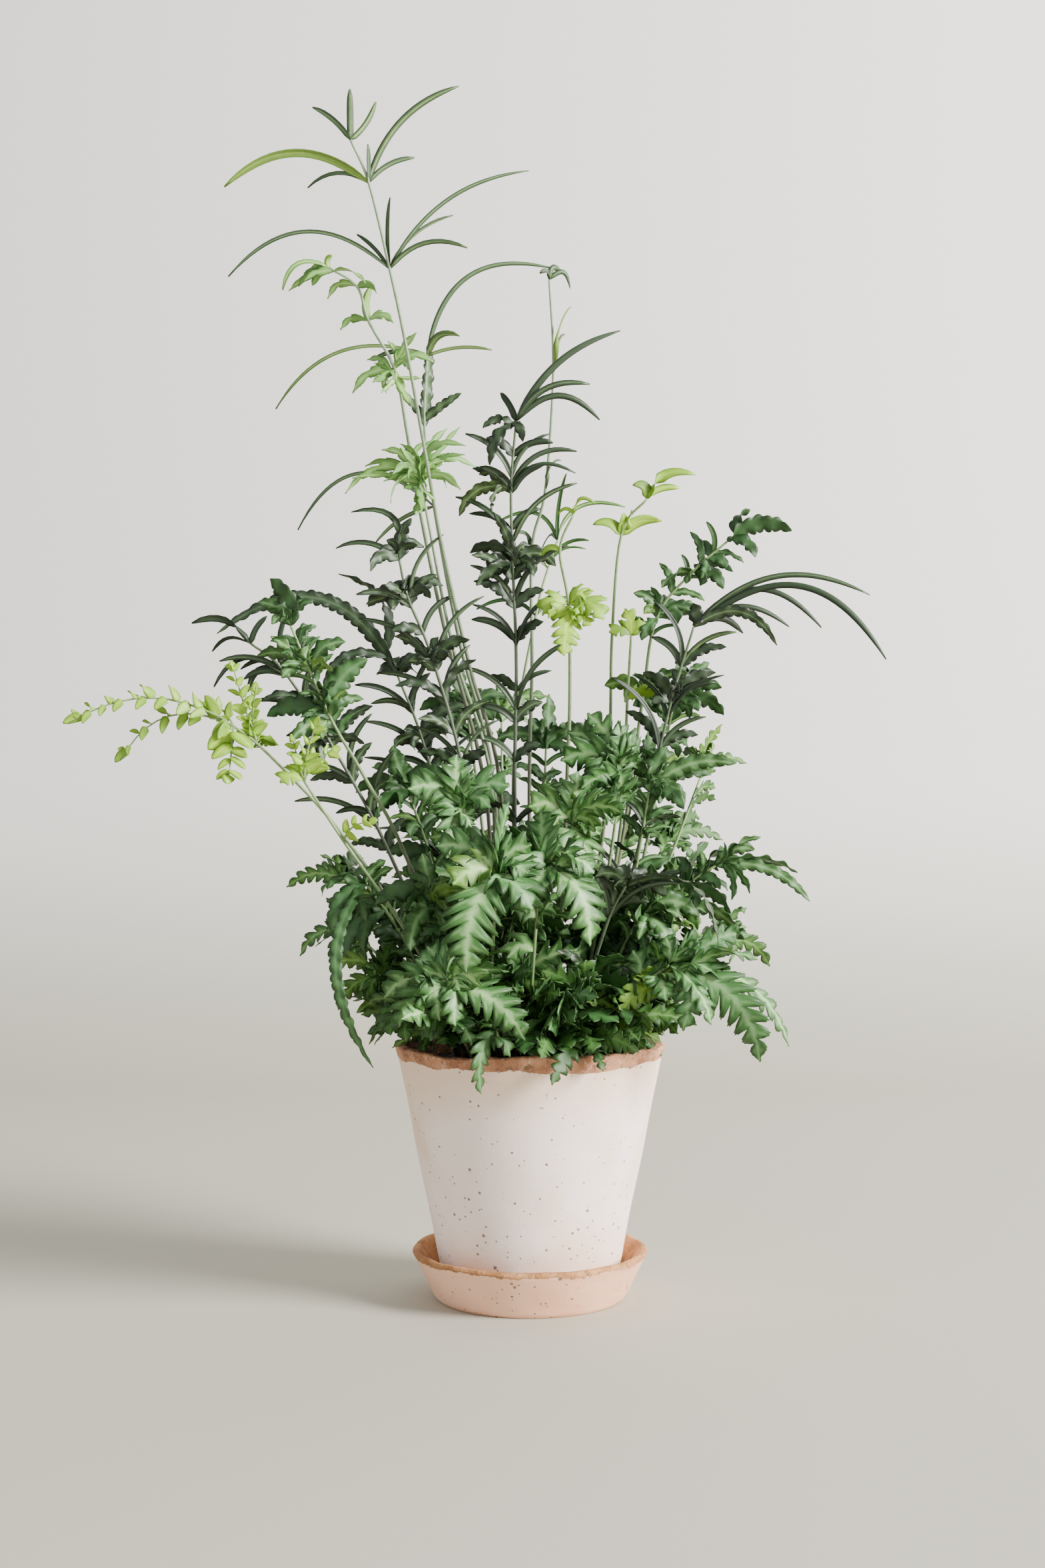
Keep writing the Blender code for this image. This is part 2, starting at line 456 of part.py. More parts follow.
def grow_leaflet(sheet, edge, lower, upper, base, reach, arch, width, stalk_way):
    """A leaflet from one edge of the stalk, in sections out to its tip."""
    sections = ARCHED_SECTIONS if arch > HIGH_ARCH else FLAT_SECTIONS
    for step in range(1, sections + 1):
        share = step / sections
        centre = leaflet_curve(base, reach, arch, share)
        way = (centre - leaflet_curve(base, reach, arch, share - 0.05)).normalized()
        across = (stalk_way - way * stalk_way.dot(way)).normalized()
        half = blade_half_width(width, share)
        ahead = grow(sheet, edge)
        new_lower = ahead[lower]
        new_upper = ahead[upper]
        new_lower.co = centre - across * half
        new_upper.co = centre + across * half
        edge = sheet.edges.get((new_lower, new_upper))
        lower = new_lower
        upper = new_upper


def sort_leaflets(leaflets, index, across, stalk_way, is_end):
    """The leaflets of one stalk point, as lists for the left side, the right side and the end."""
    here = [row for row in leaflets if row[0] + 1 == index]
    end = []
    if is_end and here:
        straight = max(here, key=lambda row: Vector(row[1:4]).normalized().dot(stalk_way))
        here.remove(straight)
        end = [straight]
    left = [row for row in here if Vector(row[1:4]).dot(across) < 0.0]
    right = [row for row in here if Vector(row[1:4]).dot(across) >= 0.0]
    for side in (left, right):
        side.sort(key=lambda row: -Vector(row[1:4]).normalized().dot(stalk_way))
    return left, right, end


def frond_sheet(points, leaflets):
    """The frond as an open sheet: a narrow stalk strip with a leaflet on each slot's side edge."""
    sheet = bmesh.new()
    facing = facing_of(points)
    half = 0.5 * STALK_WIDTH
    start_across = (points[1] - points[0]).cross(facing).normalized()
    left = sheet.verts.new(points[0] - start_across * half)
    right = sheet.verts.new(points[0] + start_across * half)
    edge = sheet.edges.new((left, right))
    jobs = []
    for index in range(1, len(points)):
        stalk_way = (points[index] - points[index - 1]).normalized()
        across = stalk_way.cross(facing).normalized()
        is_end = index == len(points) - 1
        on_left, on_right, at_end = sort_leaflets(leaflets, index, across, stalk_way, is_end)
        slots = max(len(on_left), len(on_right))
        for slot in range(slots, -1, -1):
            centre = points[index] - stalk_way * SLOT * slot
            ahead = grow(sheet, edge)
            new_left = ahead[left]
            new_right = ahead[right]
            new_left.co = centre - across * half
            new_right.co = centre + across * half
            if slot < len(on_left):
                jobs.append((left, new_left, on_left[slot], centre, stalk_way))
            if slot < len(on_right):
                jobs.append((right, new_right, on_right[slot], centre, stalk_way))
            left = new_left
            right = new_right
            edge = sheet.edges.get((left, right))
        for row in at_end:
            jobs.append((left, right, row, points[index], across))
    for low, high, row, centre, way in jobs:
        side = sheet.edges.get((low, high))
        reach = Vector(row[1:4]) * MM
        grow_leaflet(sheet, side, low, high, centre, reach, row[4] * MM, row[5] * MM, way)
    bmesh.ops.recalc_face_normals(sheet, faces=sheet.faces)
    return sheet


def tree_of(thing):
    return BVHTree.FromObject(thing, bpy.context.evaluated_depsgraph_get())


def settle(thing, foot, others, wall):
    """Turn the frond about its foot, a little at a time, until it clears its neighbours."""
    wall.thickness = BLADE_THICKNESS + 2.0 * FROND_CLEARANCE
    start = thing.data.copy()
    turns = [0]
    for size in range(TURN_STEP, TURN_LIMIT + 1, TURN_STEP):
        turns += [size, -size]
    for turn in turns:
        about = Matrix.Translation(foot) @ Matrix.Rotation(math.radians(turn), 4, "Z")
        moved = start.copy()
        moved.transform(about @ Matrix.Translation(-foot))
        thing.data = moved
        tree = tree_of(thing)
        if not any(tree.overlap(other) for other in others):
            break
    wall.thickness = BLADE_THICKNESS
    return tree_of(thing)


def make_frond(row, collection, materials, others):
    name, foot, path, leaflets = row
    points = stalk_points(foot, path)
    sheet = frond_sheet(points, leaflets)
    mesh = bpy.data.meshes.new(f"frond_{name}")
    sheet.to_mesh(mesh)
    sheet.free()
    group = name.split("_")[0]
    thing = add_object(f"frond_{name}", mesh, collection, materials[group])
    wall = thing.modifiers.new("Thickness", "SOLIDIFY")
    wall.offset = 0.0
    others.append(settle(thing, points[0], others, wall))


def main():
    clear_scene()
    collection = bpy.data.collections.new("PottedFern")
    bpy.context.scene.collection.children.link(collection)
    standing = [make_saucer(collection), make_pot(collection), make_soil(collection)]
    materials = {}
    for group, (colour, roughness) in FINISHES.items():
        materials[group] = finish(f"Fern leaf {group}", colour, roughness)
    others = [tree_of(thing) for thing in standing]
    for row in FRONDS:
        make_frond(row, collection, materials, others)


main()
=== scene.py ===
"""Visual model of a lace fern in a limewashed terracotta pot on its saucer, built round its CAD frame."""

import math
import random

import bmesh
import bpy
from mathutils import Matrix, Vector, noise


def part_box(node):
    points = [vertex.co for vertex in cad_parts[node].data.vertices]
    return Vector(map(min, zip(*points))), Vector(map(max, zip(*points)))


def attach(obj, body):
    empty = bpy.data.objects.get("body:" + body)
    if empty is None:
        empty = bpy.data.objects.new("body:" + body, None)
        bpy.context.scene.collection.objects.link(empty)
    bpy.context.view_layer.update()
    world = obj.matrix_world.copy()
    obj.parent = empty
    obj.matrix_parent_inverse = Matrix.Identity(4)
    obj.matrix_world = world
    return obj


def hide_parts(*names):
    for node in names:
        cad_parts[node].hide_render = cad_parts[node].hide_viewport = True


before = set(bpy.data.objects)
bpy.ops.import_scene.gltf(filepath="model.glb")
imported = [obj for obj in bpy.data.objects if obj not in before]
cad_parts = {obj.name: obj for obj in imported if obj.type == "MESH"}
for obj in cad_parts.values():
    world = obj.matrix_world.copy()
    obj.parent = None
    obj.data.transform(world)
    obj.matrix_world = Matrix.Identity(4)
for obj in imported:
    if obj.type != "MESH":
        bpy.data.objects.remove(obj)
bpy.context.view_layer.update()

bl_info = {
    "name": "Potted Lace Fern",
    "version": (1, 0, 0),
    "blender": (4, 5, 0),
    "location": "3D View > Sidebar > Fern",
    "description": "Models a lace fern in a limewashed terracotta pot on its saucer",
    "category": "Add Mesh",
}

MM = 0.001
BODY = "root"
POT_LOW, POT_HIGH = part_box("pot")
SAUCER_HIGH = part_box("saucer")[1]
MIX_LOW, MIX_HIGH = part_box("potting_mix")
RIM_TOP = POT_HIGH[2]
MIX_TOP = MIX_HIGH[2]
POT_RADIUS = POT_HIGH[0]
SAUCER_RADIUS = SAUCER_HIGH[0]
TABLE_RIM_RADIUS = 0.080  # the pot's rim that the rows below are written for

# Turns about its foot that a CAD frond may stand at, in degrees, nearest first
TURN_STEP, TURN_LIMIT = 3, 60
TURNS = [0]
for step in range(TURN_STEP, TURN_LIMIT + 1, TURN_STEP):
    TURNS += [step, -step]

# One row for each frond, in millimetres, with heights above the pot's rim:
# name, foot (x, y), points up the stalk, then leaflets. A leaflet gives the
# stalk point it grows from, how far its tip reaches in x, y and z, how far
# its middle arches above the straight line, and its width.
FRONDS = [
    ("tall_1", (-15, -3),
     [(-17, -12, 146), (-35, -30, 220), (-50, -50, 286), (-60, -70, 343), (-69, -90, 394),
      (-76, -103, 427), (-86, -118, 468), (-95, -125, 488)],
     [(6, -86, -6, -6, 21, 3), (6, -18, 4, 20, 2, 3), (6, 1, -10, 35, 1, 4), (6, 42, -4, 10, 8, 4),
      (6, 34, 6, 31, 5, 4), (6, 75, 8, 56, 12, 3), (7, -75, -10, -6, 16, 6), (7, -33, 5, -1, 6, 3),
      (7, 0, -6, 18, 0, 4), (7, 24, 5, 15, 3, 4), (7, 48, -5, 49, 9, 5), (8, -20, 0, 17, 2, 4),
      (8, 13, 5, 22, -2, 4), (8, 0, -4, 25, 0, 5)]),
    ("tall_2", (-18, 5),
     [(-21, 6, 148), (-42, -8, 238), (-56, -25, 314), (-61, -35, 358), (-59, -42, 397)],
     [(3, -80, 5, -13, 26, 3), (3, -35, 8, -20, 4, 4), (4, 4, -8, 49, 0, 8), (5, -86, -6, -32, 18, 3),
      (5, 37, 6, 5, 3, 3), (5, 74, 10, 53, 24, 4), (5, -32, 8, 0, 4, 4), (5, 19, -8, 9, 6, 6)]),
    ("pale_1", (-20, 11),
     [(-26, 10, 144), (-50, -12, 242), (-64, -38, 312), (-70, -52, 351), (-76, -65, 383),
      (-90, -72, 408), (-96, -76, 426), (-111, -80, 435)],
     [(5, -24, 5, -12, 5, 9), (5, 22, -4, 3, 6, 9), (5, 13, -10, 18, 2, 8), (5, -11, -15, -11, 0, 8),
      (5, 10, -12, -23, -3, 8), (6, -16, 3, -4, 4, 8), (6, 14, -4, -2, 4, 8), (6, 2, 0, 20, 3, 6),
      (7, -17, 6, -5, 5, 7), (7, 11, -4, -5, 3, 6), (8, -10, 5, -8, 2, 6), (8, 2, -3, 6, 2, 5),
      (8, -25, -6, -14, 9, 4)]),
    ("pale_2", (-21, -10),
     [(-22, -18, 147), (-44, -32, 228), (-57, -48, 295), (-62, -58, 324)],
     [(4, -42, -4, -10, 10, 10), (4, -32, 8, 8, 6, 9), (4, 31, 6, 7, 8, 10), (4, 26, -8, 16, 10, 9),
      (4, 15, 6, 29, 4, 9), (4, 1, -16, -21, -2, 13), (4, -11, -4, 18, 4, 10), (4, -15, -12, -1, 6, 9),
      (4, 23, -10, -9, 5, 9)]),
    ("tall_3", (1, 13),
     [(0, 16, 144), (1, 10, 224), (0, 2, 293), (7, -8, 327), (10, -22, 393), (6, -36, 443)],
     [(6, 7, 4, 7, 4, 5), (6, -6, -4, 2, 3, 4), (6, 13, 6, -3, 7, 4), (5, 11, 4, 40, 12, 5),
      (5, 8, 8, 25, 9, 3), (4, 10, 6, 19, 8, 4), (3, -10, -6, 9, 6, 4)]),
    ("dark_1", (-7, -11),
     [(-9, -18, 143), (-8, -24, 221), (-10, -30, 278), (-11, -38, 322), (-8, -45, 359)],
     [(5, 60, 8, 54, 10, 6), (5, 42, -4, 20, 9, 5), (5, 48, 6, 2, 14, 5), (5, -15, -8, -27, 6, 8),
      (5, -9, 4, 17, 2, 6), (4, 38, 4, 22, 9, 5), (4, 37, -8, 7, 10, 5), (4, -30, 6, -15, 8, 8),
      (4, -18, -6, 11, 3, 6), (3, -25, 6, 9, 8, 10), (3, 25, 4, 1, 8, 10), (3, -11, -8, 30, 3, 7),
      (3, -21, -8, -12, 4, 10)]),
    ("dark_2", (-24, -18),
     [(-37, -26, 143), (-56, -38, 220), (-71, -46, 257), (-76, -52, 278)],
     [(4, -27, -4, 26, 14, 6), (4, -36, 5, 7, 6, 5), (4, -16, -10, -8, 6, 8), (4, 14, 4, 8, 6, 8),
      (4, 7, -4, 23, 3, 9), (3, -23, 6, -4, 6, 10), (3, 20, 4, 8, 6, 10), (3, -13, -8, 6, 2, 8),
      (2, -23, 4, 17, 4, 9), (2, 20, -6, 14, 5, 9)]),
    ("green_1", (-30, -14),
     [(-71, -32, 108), (-95, -45, 156), (-112, -52, 186), (-124, -56, 214), (-135, -60, 240)],
     [(5, -11, -4, 26, 4, 12), (5, -19, 4, 14, 4, 9), (5, 13, -4, 13, 4, 9), (4, -31, 4, 10, 6, 12),
      (4, 20, -4, 17, 6, 12), (4, -22, -6, 20, 2, 8), (3, -38, 4, 4, 8, 13), (3, 20, -2, 36, 8, 15),
      (3, -22, -8, -10, 4, 10), (3, 17, 6, 14, 6, 10)]),
    ("dark_3", (-35, -5),
     [(-81, -14, 108), (-115, -26, 174), (-142, -38, 217), (-160, -44, 232)],
     [(4, -33, -4, 11, 8, 6), (4, -23, 6, -4, 6, 4), (4, 10, -4, 15, 2, 5), (3, -39, -6, -10, 12, 4),
      (3, -21, 4, -12, 8, 6), (3, 17, 4, 18, 4, 8), (3, -25, 2, 1, 6, 5), (2, 23, 4, 24, 5, 9),
      (2, -19, -4, -12, 5, 9)]),
    ("dark_4", (-29, 10),
     [(-51, 14, 124), (-65, 8, 181), (-79, -2, 218)],
     [(3, -105, -14, 23, 34, 7), (3, 17, 4, 12, 4, 8), (3, -13, 8, 1, 4, 8), (2, 27, 5, 20, 6, 10),
      (2, -17, -5, -7, 4, 9)]),
    ("lime_1", (-29, -27),
     [(-73, -40, 70), (-92, -46, 102), (-115, -52, 133), (-134, -58, 154), (-154, -62, 174),
      (-166, -66, 183)],
     [(6, -90, -10, 1, 15, 13), (6, -65, 6, -19, 16, 12), (6, -1, -12, -30, 0, 17),
      (5, -14, 4, 44, 2, 11), (5, 1, -6, 31, 2, 10), (5, 5, 4, -2, 6, 12), (6, -21, 8, 14, 5, 9)]),
    ("lime_2", (-27, -34),
     [(-70, -54, 67), (-105, -62, 119), (-126, -70, 152)],
     [(3, 8, -4, 33, 2, 12), (3, -13, -4, -1, 4, 11), (3, 18, 2, 17, 4, 12), (3, -7, 4, 24, 2, 9),
      (2, 17, -4, 10, 4, 10)]),
    ("lime_3", (25, 10),
     [(44, 8, 124), (48, 4, 184), (49, -2, 242), (54, -12, 300), (69, -18, 320)],
     [(5, 28, -4, 13, 8, 7), (5, -9, -4, 7, 4, 7), (5, 19, 4, 7, 3, 6), (4, -17, -4, 5, 4, 8),
      (4, 1, -4, 12, 1, 7), (4, 24, 2, 8, 4, 8)]),
    ("lime_4", (16, -21),
     [(21, -28, 143), (23, -32, 201), (22, -38, 255), (17, -42, 286), (25, -46, 306)],
     [(5, 12, -4, 5, 6, 3), (5, -9, 4, 0, 3, 3), (3, 20, -10, -10, 6, 14), (3, -15, -4, -7, 6, 11),
      (3, -3, -14, -31, 2, 14), (3, 14, 4, 5, 4, 9), (4, -10, 4, -3, 3, 5)]),
    ("lime_5", (32, -6),
     [(53, -14, 124), (57, -20, 202), (59, -24, 239)],
     [(3, -4, -4, 15, 2, 9), (3, -13, -4, 1, 3, 9), (3, 10, 2, 6, 3, 8), (2, 17, -4, 2, 3, 9)]),
    ("green_2", (31, 2),
     [(55, -6, 124), (65, -14, 202), (72, -22, 250), (92, -30, 276), (111, -36, 293)],
     [(5, 37, -6, 6, 7, 12), (4, -19, -4, -10, 4, 12), (4, 19, 4, -9, 5, 12), (3, -14, -2, 14, 5, 12),
      (3, 26, 4, 1, 6, 13), (3, -10, -6, -14, 3, 10), (2, -22, 4, 9, 6, 12), (2, 27, -4, 16, 6, 12)]),
    ("dark_5", (38, -14),
     [(65, -26, 124), (81, -32, 197), (94, -40, 242)],
     [(3, 99, -10, 17, 20, 5), (3, 106, -22, -21, 33, 6), (3, 56, 8, 1, 12, 5), (3, 74, 4, 0, 22, 5),
      (3, 46, -12, -12, 14, 7), (3, 30, 14, -2, 7, 6), (3, -1, -4, 13, 2, 9), (2, 27, 5, 20, 6, 10),
      (2, -16, -5, 19, 5, 10)]),
    ("green_3", (41, 8),
     [(67, 4, 104), (78, 0, 164), (84, -6, 199)],
     [(3, 30, -4, -5, 8, 13), (3, 23, 4, 27, 4, 12), (3, 3, -2, 30, 3, 12), (3, -20, 4, 18, 6, 12),
      (3, -25, -6, 0, 5, 12), (3, 28, -8, 11, 7, 11)]),
    ("green_4", (40, -24),
     [(61, -38, 104), (68, -44, 147)],
     [(2, 49, -6, 16, 8, 11), (2, 36, 4, 10, 6, 10), (2, 19, -10, -10, 5, 10), (2, 10, -4, 26, 2, 11),
      (2, -16, 4, 19, 5, 11)]),
    ("silver_1", (25, -30),
     [(45, -46, 105), (51, -54, 155)],
     [(2, -34, -6, 9, 9, 16), (2, -30, 4, 26, 7, 14), (2, -19, -4, 36, 5, 13), (2, -2, -6, 30, 3, 14),
      (2, 12, 2, 21, 5, 13), (2, -23, -12, -7, 4, 14)]),
    ("green_5", (33, -18),
     [(63, -36, 58), (85, -50, 91), (103, -58, 105)],
     [(3, 46, -4, -4, 6, 9), (3, 52, -8, -20, 9, 8), (3, 23, 4, 9, 5, 10), (2, 16, 6, 27, 6, 12),
      (2, 26, -10, -13, 6, 11)]),
    ("dark_6", (21, -37),
     [(41, -64, 67), (53, -74, 94)],
     [(2, 50, -14, -34, 22, 7), (2, 23, 6, -6, 5, 10), (2, 4, 4, 16, 2, 10), (2, -18, -6, 5, 5, 10)]),
    ("silver_2", (27, -42),
     [(57, -70, 34), (75, -80, 50)],
     [(2, 48, -14, -52, 14, 16), (2, 68, 6, -46, 16, 13), (2, 36, 8, -12, 8, 12),
      (1, 23, 6, 33, 5, 13), (2, 20, -20, -31, 6, 12)]),
    ("green_6", (-39, -13),
     [(-77, -32, 62), (-101, -44, 95)],
     [(2, -17, -8, -33, 10, 10), (2, 1, -26, -101, 34, 8), (2, -21, 4, 0, 4, 9),
      (2, 11, -4, 13, 2, 10), (1, -19, -8, 4, 4, 11), (1, 17, 4, 23, 5, 11)]),
    ("silver_3", (-25, -48),
     [(-21, -78, 57), (-18, -92, 101)],
     [(2, -16, -24, -53, 14, 20), (2, 16, -10, -22, 9, 16), (2, 6, 4, 39, 3, 15),
      (2, -34, 2, 15, 7, 14), (2, -24, -14, -6, 6, 14), (2, 27, 4, 4, 8, 14)]),
    ("silver_4", (-2, -45),
     [(2, -74, 57), (6, -84, 105)],
     [(2, 26, -18, -43, 16, 17), (2, 21, -2, -16, 9, 14), (2, 0, 4, 31, 2, 15), (2, -25, 8, 15, 6, 13),
      (2, 25, 6, 7, 7, 13), (1, -15, -10, -3, 6, 13)]),
    ("silver_5", (-30, -51),
     [(-47, -82, 28), (-45, -90, 41)],
     [(2, 42, -10, -30, 9, 14), (2, -27, 2, -24, 7, 13), (2, -12, 6, 20, 3, 13),
      (2, -36, 8, -9, 8, 12), (2, 18, -10, -1, 6, 13)]),
    ("green_7", (-12, -53),
     [(-19, -82, 15)],
     [(1, -8, -10, -34, 10, 13), (1, 17, -2, 9, 6, 11), (1, -16, 2, 16, 6, 11), (1, 5, 4, 24, 1, 11)]),
    ("green_8", (-37, 3),
     [(-70, 0, 48), (-83, -8, 77)],
     [(2, -33, -4, -4, 7, 12), (2, -24, -14, -27, 9, 12), (2, -10, 4, 27, 3, 12),
      (2, 21, 6, 15, 5, 12), (2, 7, -20, -35, 6, 11)]),
    ("green_9", (33, 14),
     [(67, 18, 47), (83, 12, 76)],
     [(2, 43, -4, -12, 9, 12), (2, 32, 4, 16, 5, 12), (2, -1, -4, 32, 3, 12), (2, -28, 4, 16, 5, 12),
      (2, 22, -18, -31, 8, 11)]),
    ("back_1", (-22, 22),
     [(-52, 60, 90), (-70, 92, 150)],
     [(2, -34, 22, 18, 8, 13), (2, 26, 18, 30, 6, 13), (2, -6, 36, 4, 8, 15), (1, 26, 30, 12, 6, 12),
      (1, -36, 14, 6, 7, 12)]),
    ("back_2", (-8, 26),
     [(-16, 62, 110), (-18, 90, 196)],
     [(2, -32, 10, 16, 8, 13), (2, 30, 12, 18, 8, 13), (2, 2, 30, 26, 6, 14), (1, 26, 22, 22, 6, 12),
      (1, -30, 16, 10, 7, 12)]),
    ("back_3", (10, 28),
     [(22, 70, 90), (34, 108, 140)],
     [(2, 34, 18, 8, 8, 13), (2, -28, 22, 16, 8, 13), (2, 8, 38, 4, 8, 15), (1, 32, 10, 20, 6, 12),
      (1, -24, 26, 4, 7, 12)]),
    ("back_4", (26, 20),
     [(62, 56, 76), (88, 84, 118)],
     [(2, 38, 14, 2, 8, 13), (2, -14, 34, 16, 8, 13), (2, 24, 30, 10, 8, 15), (1, 30, -6, 24, 6, 12),
      (1, -16, 32, 8, 7, 12)]),
    ("back_5", (-34, 14),
     [(-84, 40, 60), (-114, 62, 92)],
     [(2, -40, 4, -2, 8, 13), (2, 6, 34, 16, 8, 13), (2, -24, 26, 4, 8, 15), (1, -26, -14, 20, 6, 12),
      (1, 8, 34, 4, 7, 12)]),
    ("back_6", (-18, 36),
     [(-36, 78, 38), (-46, 108, 48)],
     [(2, -30, 16, -20, 9, 15), (2, 28, 14, -12, 9, 14), (2, -4, 32, -26, 10, 16), (1, 26, 16, 14, 6, 12),
      (1, -30, 6, 8, 7, 12)]),
    ("back_7", (18, 38),
     [(42, 80, 34), (56, 110, 42)],
     [(2, 34, 10, -16, 9, 15), (2, -26, 18, -14, 9, 14), (2, 10, 34, -28, 10, 16), (1, 30, 2, 16, 6, 12),
      (1, -26, 20, 8, 7, 12)]),
    ("back_8", (2, 40),
     [(0, 86, 66), (-2, 120, 92)],
     [(2, -30, 14, -4, 9, 14), (2, 28, 16, -6, 9, 14), (2, 2, 38, -10, 10, 16), (1, 28, 12, 18, 6, 12),
      (1, -28, 14, 16, 7, 12)]),
    ("back_9", (-4, 12),
     [(-10, 40, 160), (4, 66, 262), (18, 78, 312)],
     [(3, 44, 14, 24, 14, 5), (3, -40, 18, 14, 14, 5), (3, 6, 16, 46, 2, 5), (2, 36, 20, 10, 9, 5),
      (2, -38, 14, 6, 9, 5), (3, -12, 30, -8, 10, 5)]),
    ("back_10", (34, 10),
     [(80, 34, 96), (104, 46, 158)],
     [(2, 30, 16, 10, 8, 12), (2, -10, 28, 18, 6, 12), (2, 14, 4, 34, 4, 12), (1, 26, 20, 6, 6, 12)]),
    ("low_1", (-30, -24),
     [(-52, -62, 18), (-62, -80, 24)],
     [(1, -30, -2, 10, 6, 12), (1, 22, -16, 12, 5, 12), (1, -26, -12, -14, 8, 12), (1, -4, -10, 22, 3, 12)]),
    ("low_2", (-12, -34),
     [(-24, -66, 30), (-26, -78, 44)],
     [(2, -24, -8, 8, 6, 13), (2, 20, -8, 14, 6, 13), (2, 0, -10, 24, 2, 13)]),
    ("low_3", (12, -36),
     [(22, -66, 22), (28, -82, 34)],
     [(2, -24, -6, -12, 6, 13), (2, 24, -8, 0, 6, 13), (2, 2, -12, 20, 3, 13), (2, -22, -8, 14, 3, 12)]),
    ("low_4", (30, -26),
     [(54, -58, 24), (66, -72, 38)],
     [(2, 26, -6, -12, 7, 13), (2, -22, -8, -16, 6, 13), (2, 22, -8, 16, 6, 13), (2, -4, -10, 26, 3, 13)]),
    ("low_5", (-38, -4),
     [(-68, -22, 30), (-84, -34, 40)],
     [(2, -26, -8, -18, 7, 12), (2, -30, 2, 8, 6, 12), (2, 18, -14, -12, 6, 12), (2, 6, -10, 22, 3, 12)]),
    ("low_6", (38, 0),
     [(70, -14, 30), (90, -24, 44)],
     [(2, 30, -8, -16, 7, 12), (2, 30, 2, 10, 6, 12), (2, -16, -12, -14, 6, 12), (2, 0, -6, 26, 3, 12)]),
    ("silver_6", (-16, -8),
     [(-34, -32, 92), (-40, -46, 138)],
     [(2, -32, -8, 10, 7, 14), (2, 26, -10, 12, 7, 14), (2, -8, -16, -28, 5, 15), (2, -4, -6, 30, 2, 13),
      (1, -26, -10, 4, 6, 12)]),
    ("silver_7", (12, -12),
     [(22, -42, 86), (28, -56, 128)],
     [(2, 30, -8, 6, 8, 14), (2, -24, -10, 10, 7, 14), (2, 10, -16, -28, 5, 15), (2, 4, -6, 30, 2, 13),
      (1, 26, -10, 4, 6, 12)]),
    ("green_10", (-22, -30),
     [(-44, -56, 56), (-54, -70, 84)],
     [(2, -32, -6, 0, 8, 13), (2, 22, -12, 4, 6, 13), (2, -12, -14, -26, 6, 13), (2, -6, -4, 28, 2, 13),
      (1, -24, 4, 10, 6, 12)]),
    ("green_11", (24, -14),
     [(48, -40, 52), (60, -54, 78)],
     [(2, 32, -4, -2, 8, 13), (2, -22, -12, 2, 6, 13), (2, 14, -14, -26, 6, 13), (2, 4, -6, 28, 2, 13),
      (1, 26, 6, 12, 6, 12)]),
    ("green_12", (-28, 4),
     [(-58, 4, 104), (-72, 0, 146)],
     [(2, -32, 4, 2, 8, 13), (2, 20, -8, 14, 6, 13), (2, -20, -14, -14, 6, 13), (2, -10, 2, 30, 3, 13),
      (1, -28, 8, 8, 6, 12)]),
    ("green_13", (28, 6),
     [(56, 12, 112), (66, 12, 160)],
     [(2, 30, 4, 4, 8, 13), (2, -22, -8, 14, 6, 13), (2, 20, -16, -14, 6, 13), (2, 8, 2, 30, 3, 13),
      (1, 26, 10, 10, 6, 12)]),
    ("green_14", (6, 8),
     [(8, 22, 116), (10, 32, 176)],
     [(2, 30, 6, 10, 7, 13), (2, -30, 4, 6, 7, 13), (2, 2, 4, 34, 2, 13), (1, 26, 8, 12, 6, 12),
      (1, -26, 10, 4, 6, 12)]),
    ("green_15", (-12, 12),
     [(-30, 24, 136), (-38, 30, 196)],
     [(2, -30, 6, 4, 7, 13), (2, 26, 4, 12, 7, 13), (2, -6, 4, 32, 2, 13), (1, -26, 8, 10, 6, 12),
      (1, 24, 10, 6, 6, 12)]),
    ("back_11", (38, 4),
     [(88, 16, 42), (112, 30, 56)],
     [(2, 34, 8, -14, 9, 14), (2, 6, 30, 0, 8, 13), (2, 16, -22, 4, 8, 13), (2, 20, 10, 22, 4, 12)]),
    ("back_12", (-38, 6),
     [(-86, 16, 44), (-108, 30, 62)],
     [(2, -34, 8, -14, 9, 14), (2, -6, 30, 0, 8, 13), (2, -14, -22, 4, 8, 13), (2, -18, 10, 22, 4, 12)]),
]

# How a leaflet's blade is cut: length of one lobe in millimetres (0 for a plain edge), depth of the
# notches, how far the lobes lean forward, height of the edge's waves in millimetres, how far the
# edges roll under, how much wider than its stiff core it spreads, rows of faces along one lobe,
# and how blunt its tip is.
CUTS = {
    "ribbon": (0.0, 0.0, 0.0, 0.35, 0.60, 0.68, 0, 8.0),
    "ovate": (0.0, 0.0, 0.0, 0.30, 0.20, 1.0, 0, 3.0),
    "crisped": (5.4, 0.40, 0.40, 1.15, 0.14, 1.0, 6, 4.0),
    "silver": (7.6, 0.72, 0.90, 0.80, 0.18, 1.80, 9, 3.0),
    "cut": (6.6, 0.74, 0.85, 0.80, 0.18, 1.35, 8, 3.2),
    "fingered": (13.0, 0.66, 1.60, 0.50, 0.15, 0.72, 8, 2.4),
}
RIBBON_WIDTH = 0.0062  # narrower leaflets have a plain edge
OVATE_WIDTH = 0.0085  # narrower leaflets of a cut frond are plain ovals

# The cut of each group of fronds, and of one frond that differs from its group
GROUP_CUTS = {
    "tall": "crisped", "dark": "crisped", "pale": "fingered", "lime": "cut", "green": "crisped",
    "silver": "silver", "back": "cut", "low": "cut", "green_7": "cut",
}
BUSHY = ("green", "silver", "back", "low")  # groups with side stalks round their foot
FEATHERED = ("lime_1", "lime_2")  # young fronds whose leaflets are divided to the midrib
FRESH = ("low_4", "green_9")  # fronds with new, bright leaflets
PAINTED_SHADE_FRONDS = ("green_7",)  # fronds whose leaflets are darkened as painted shade from the rest of the mound over them
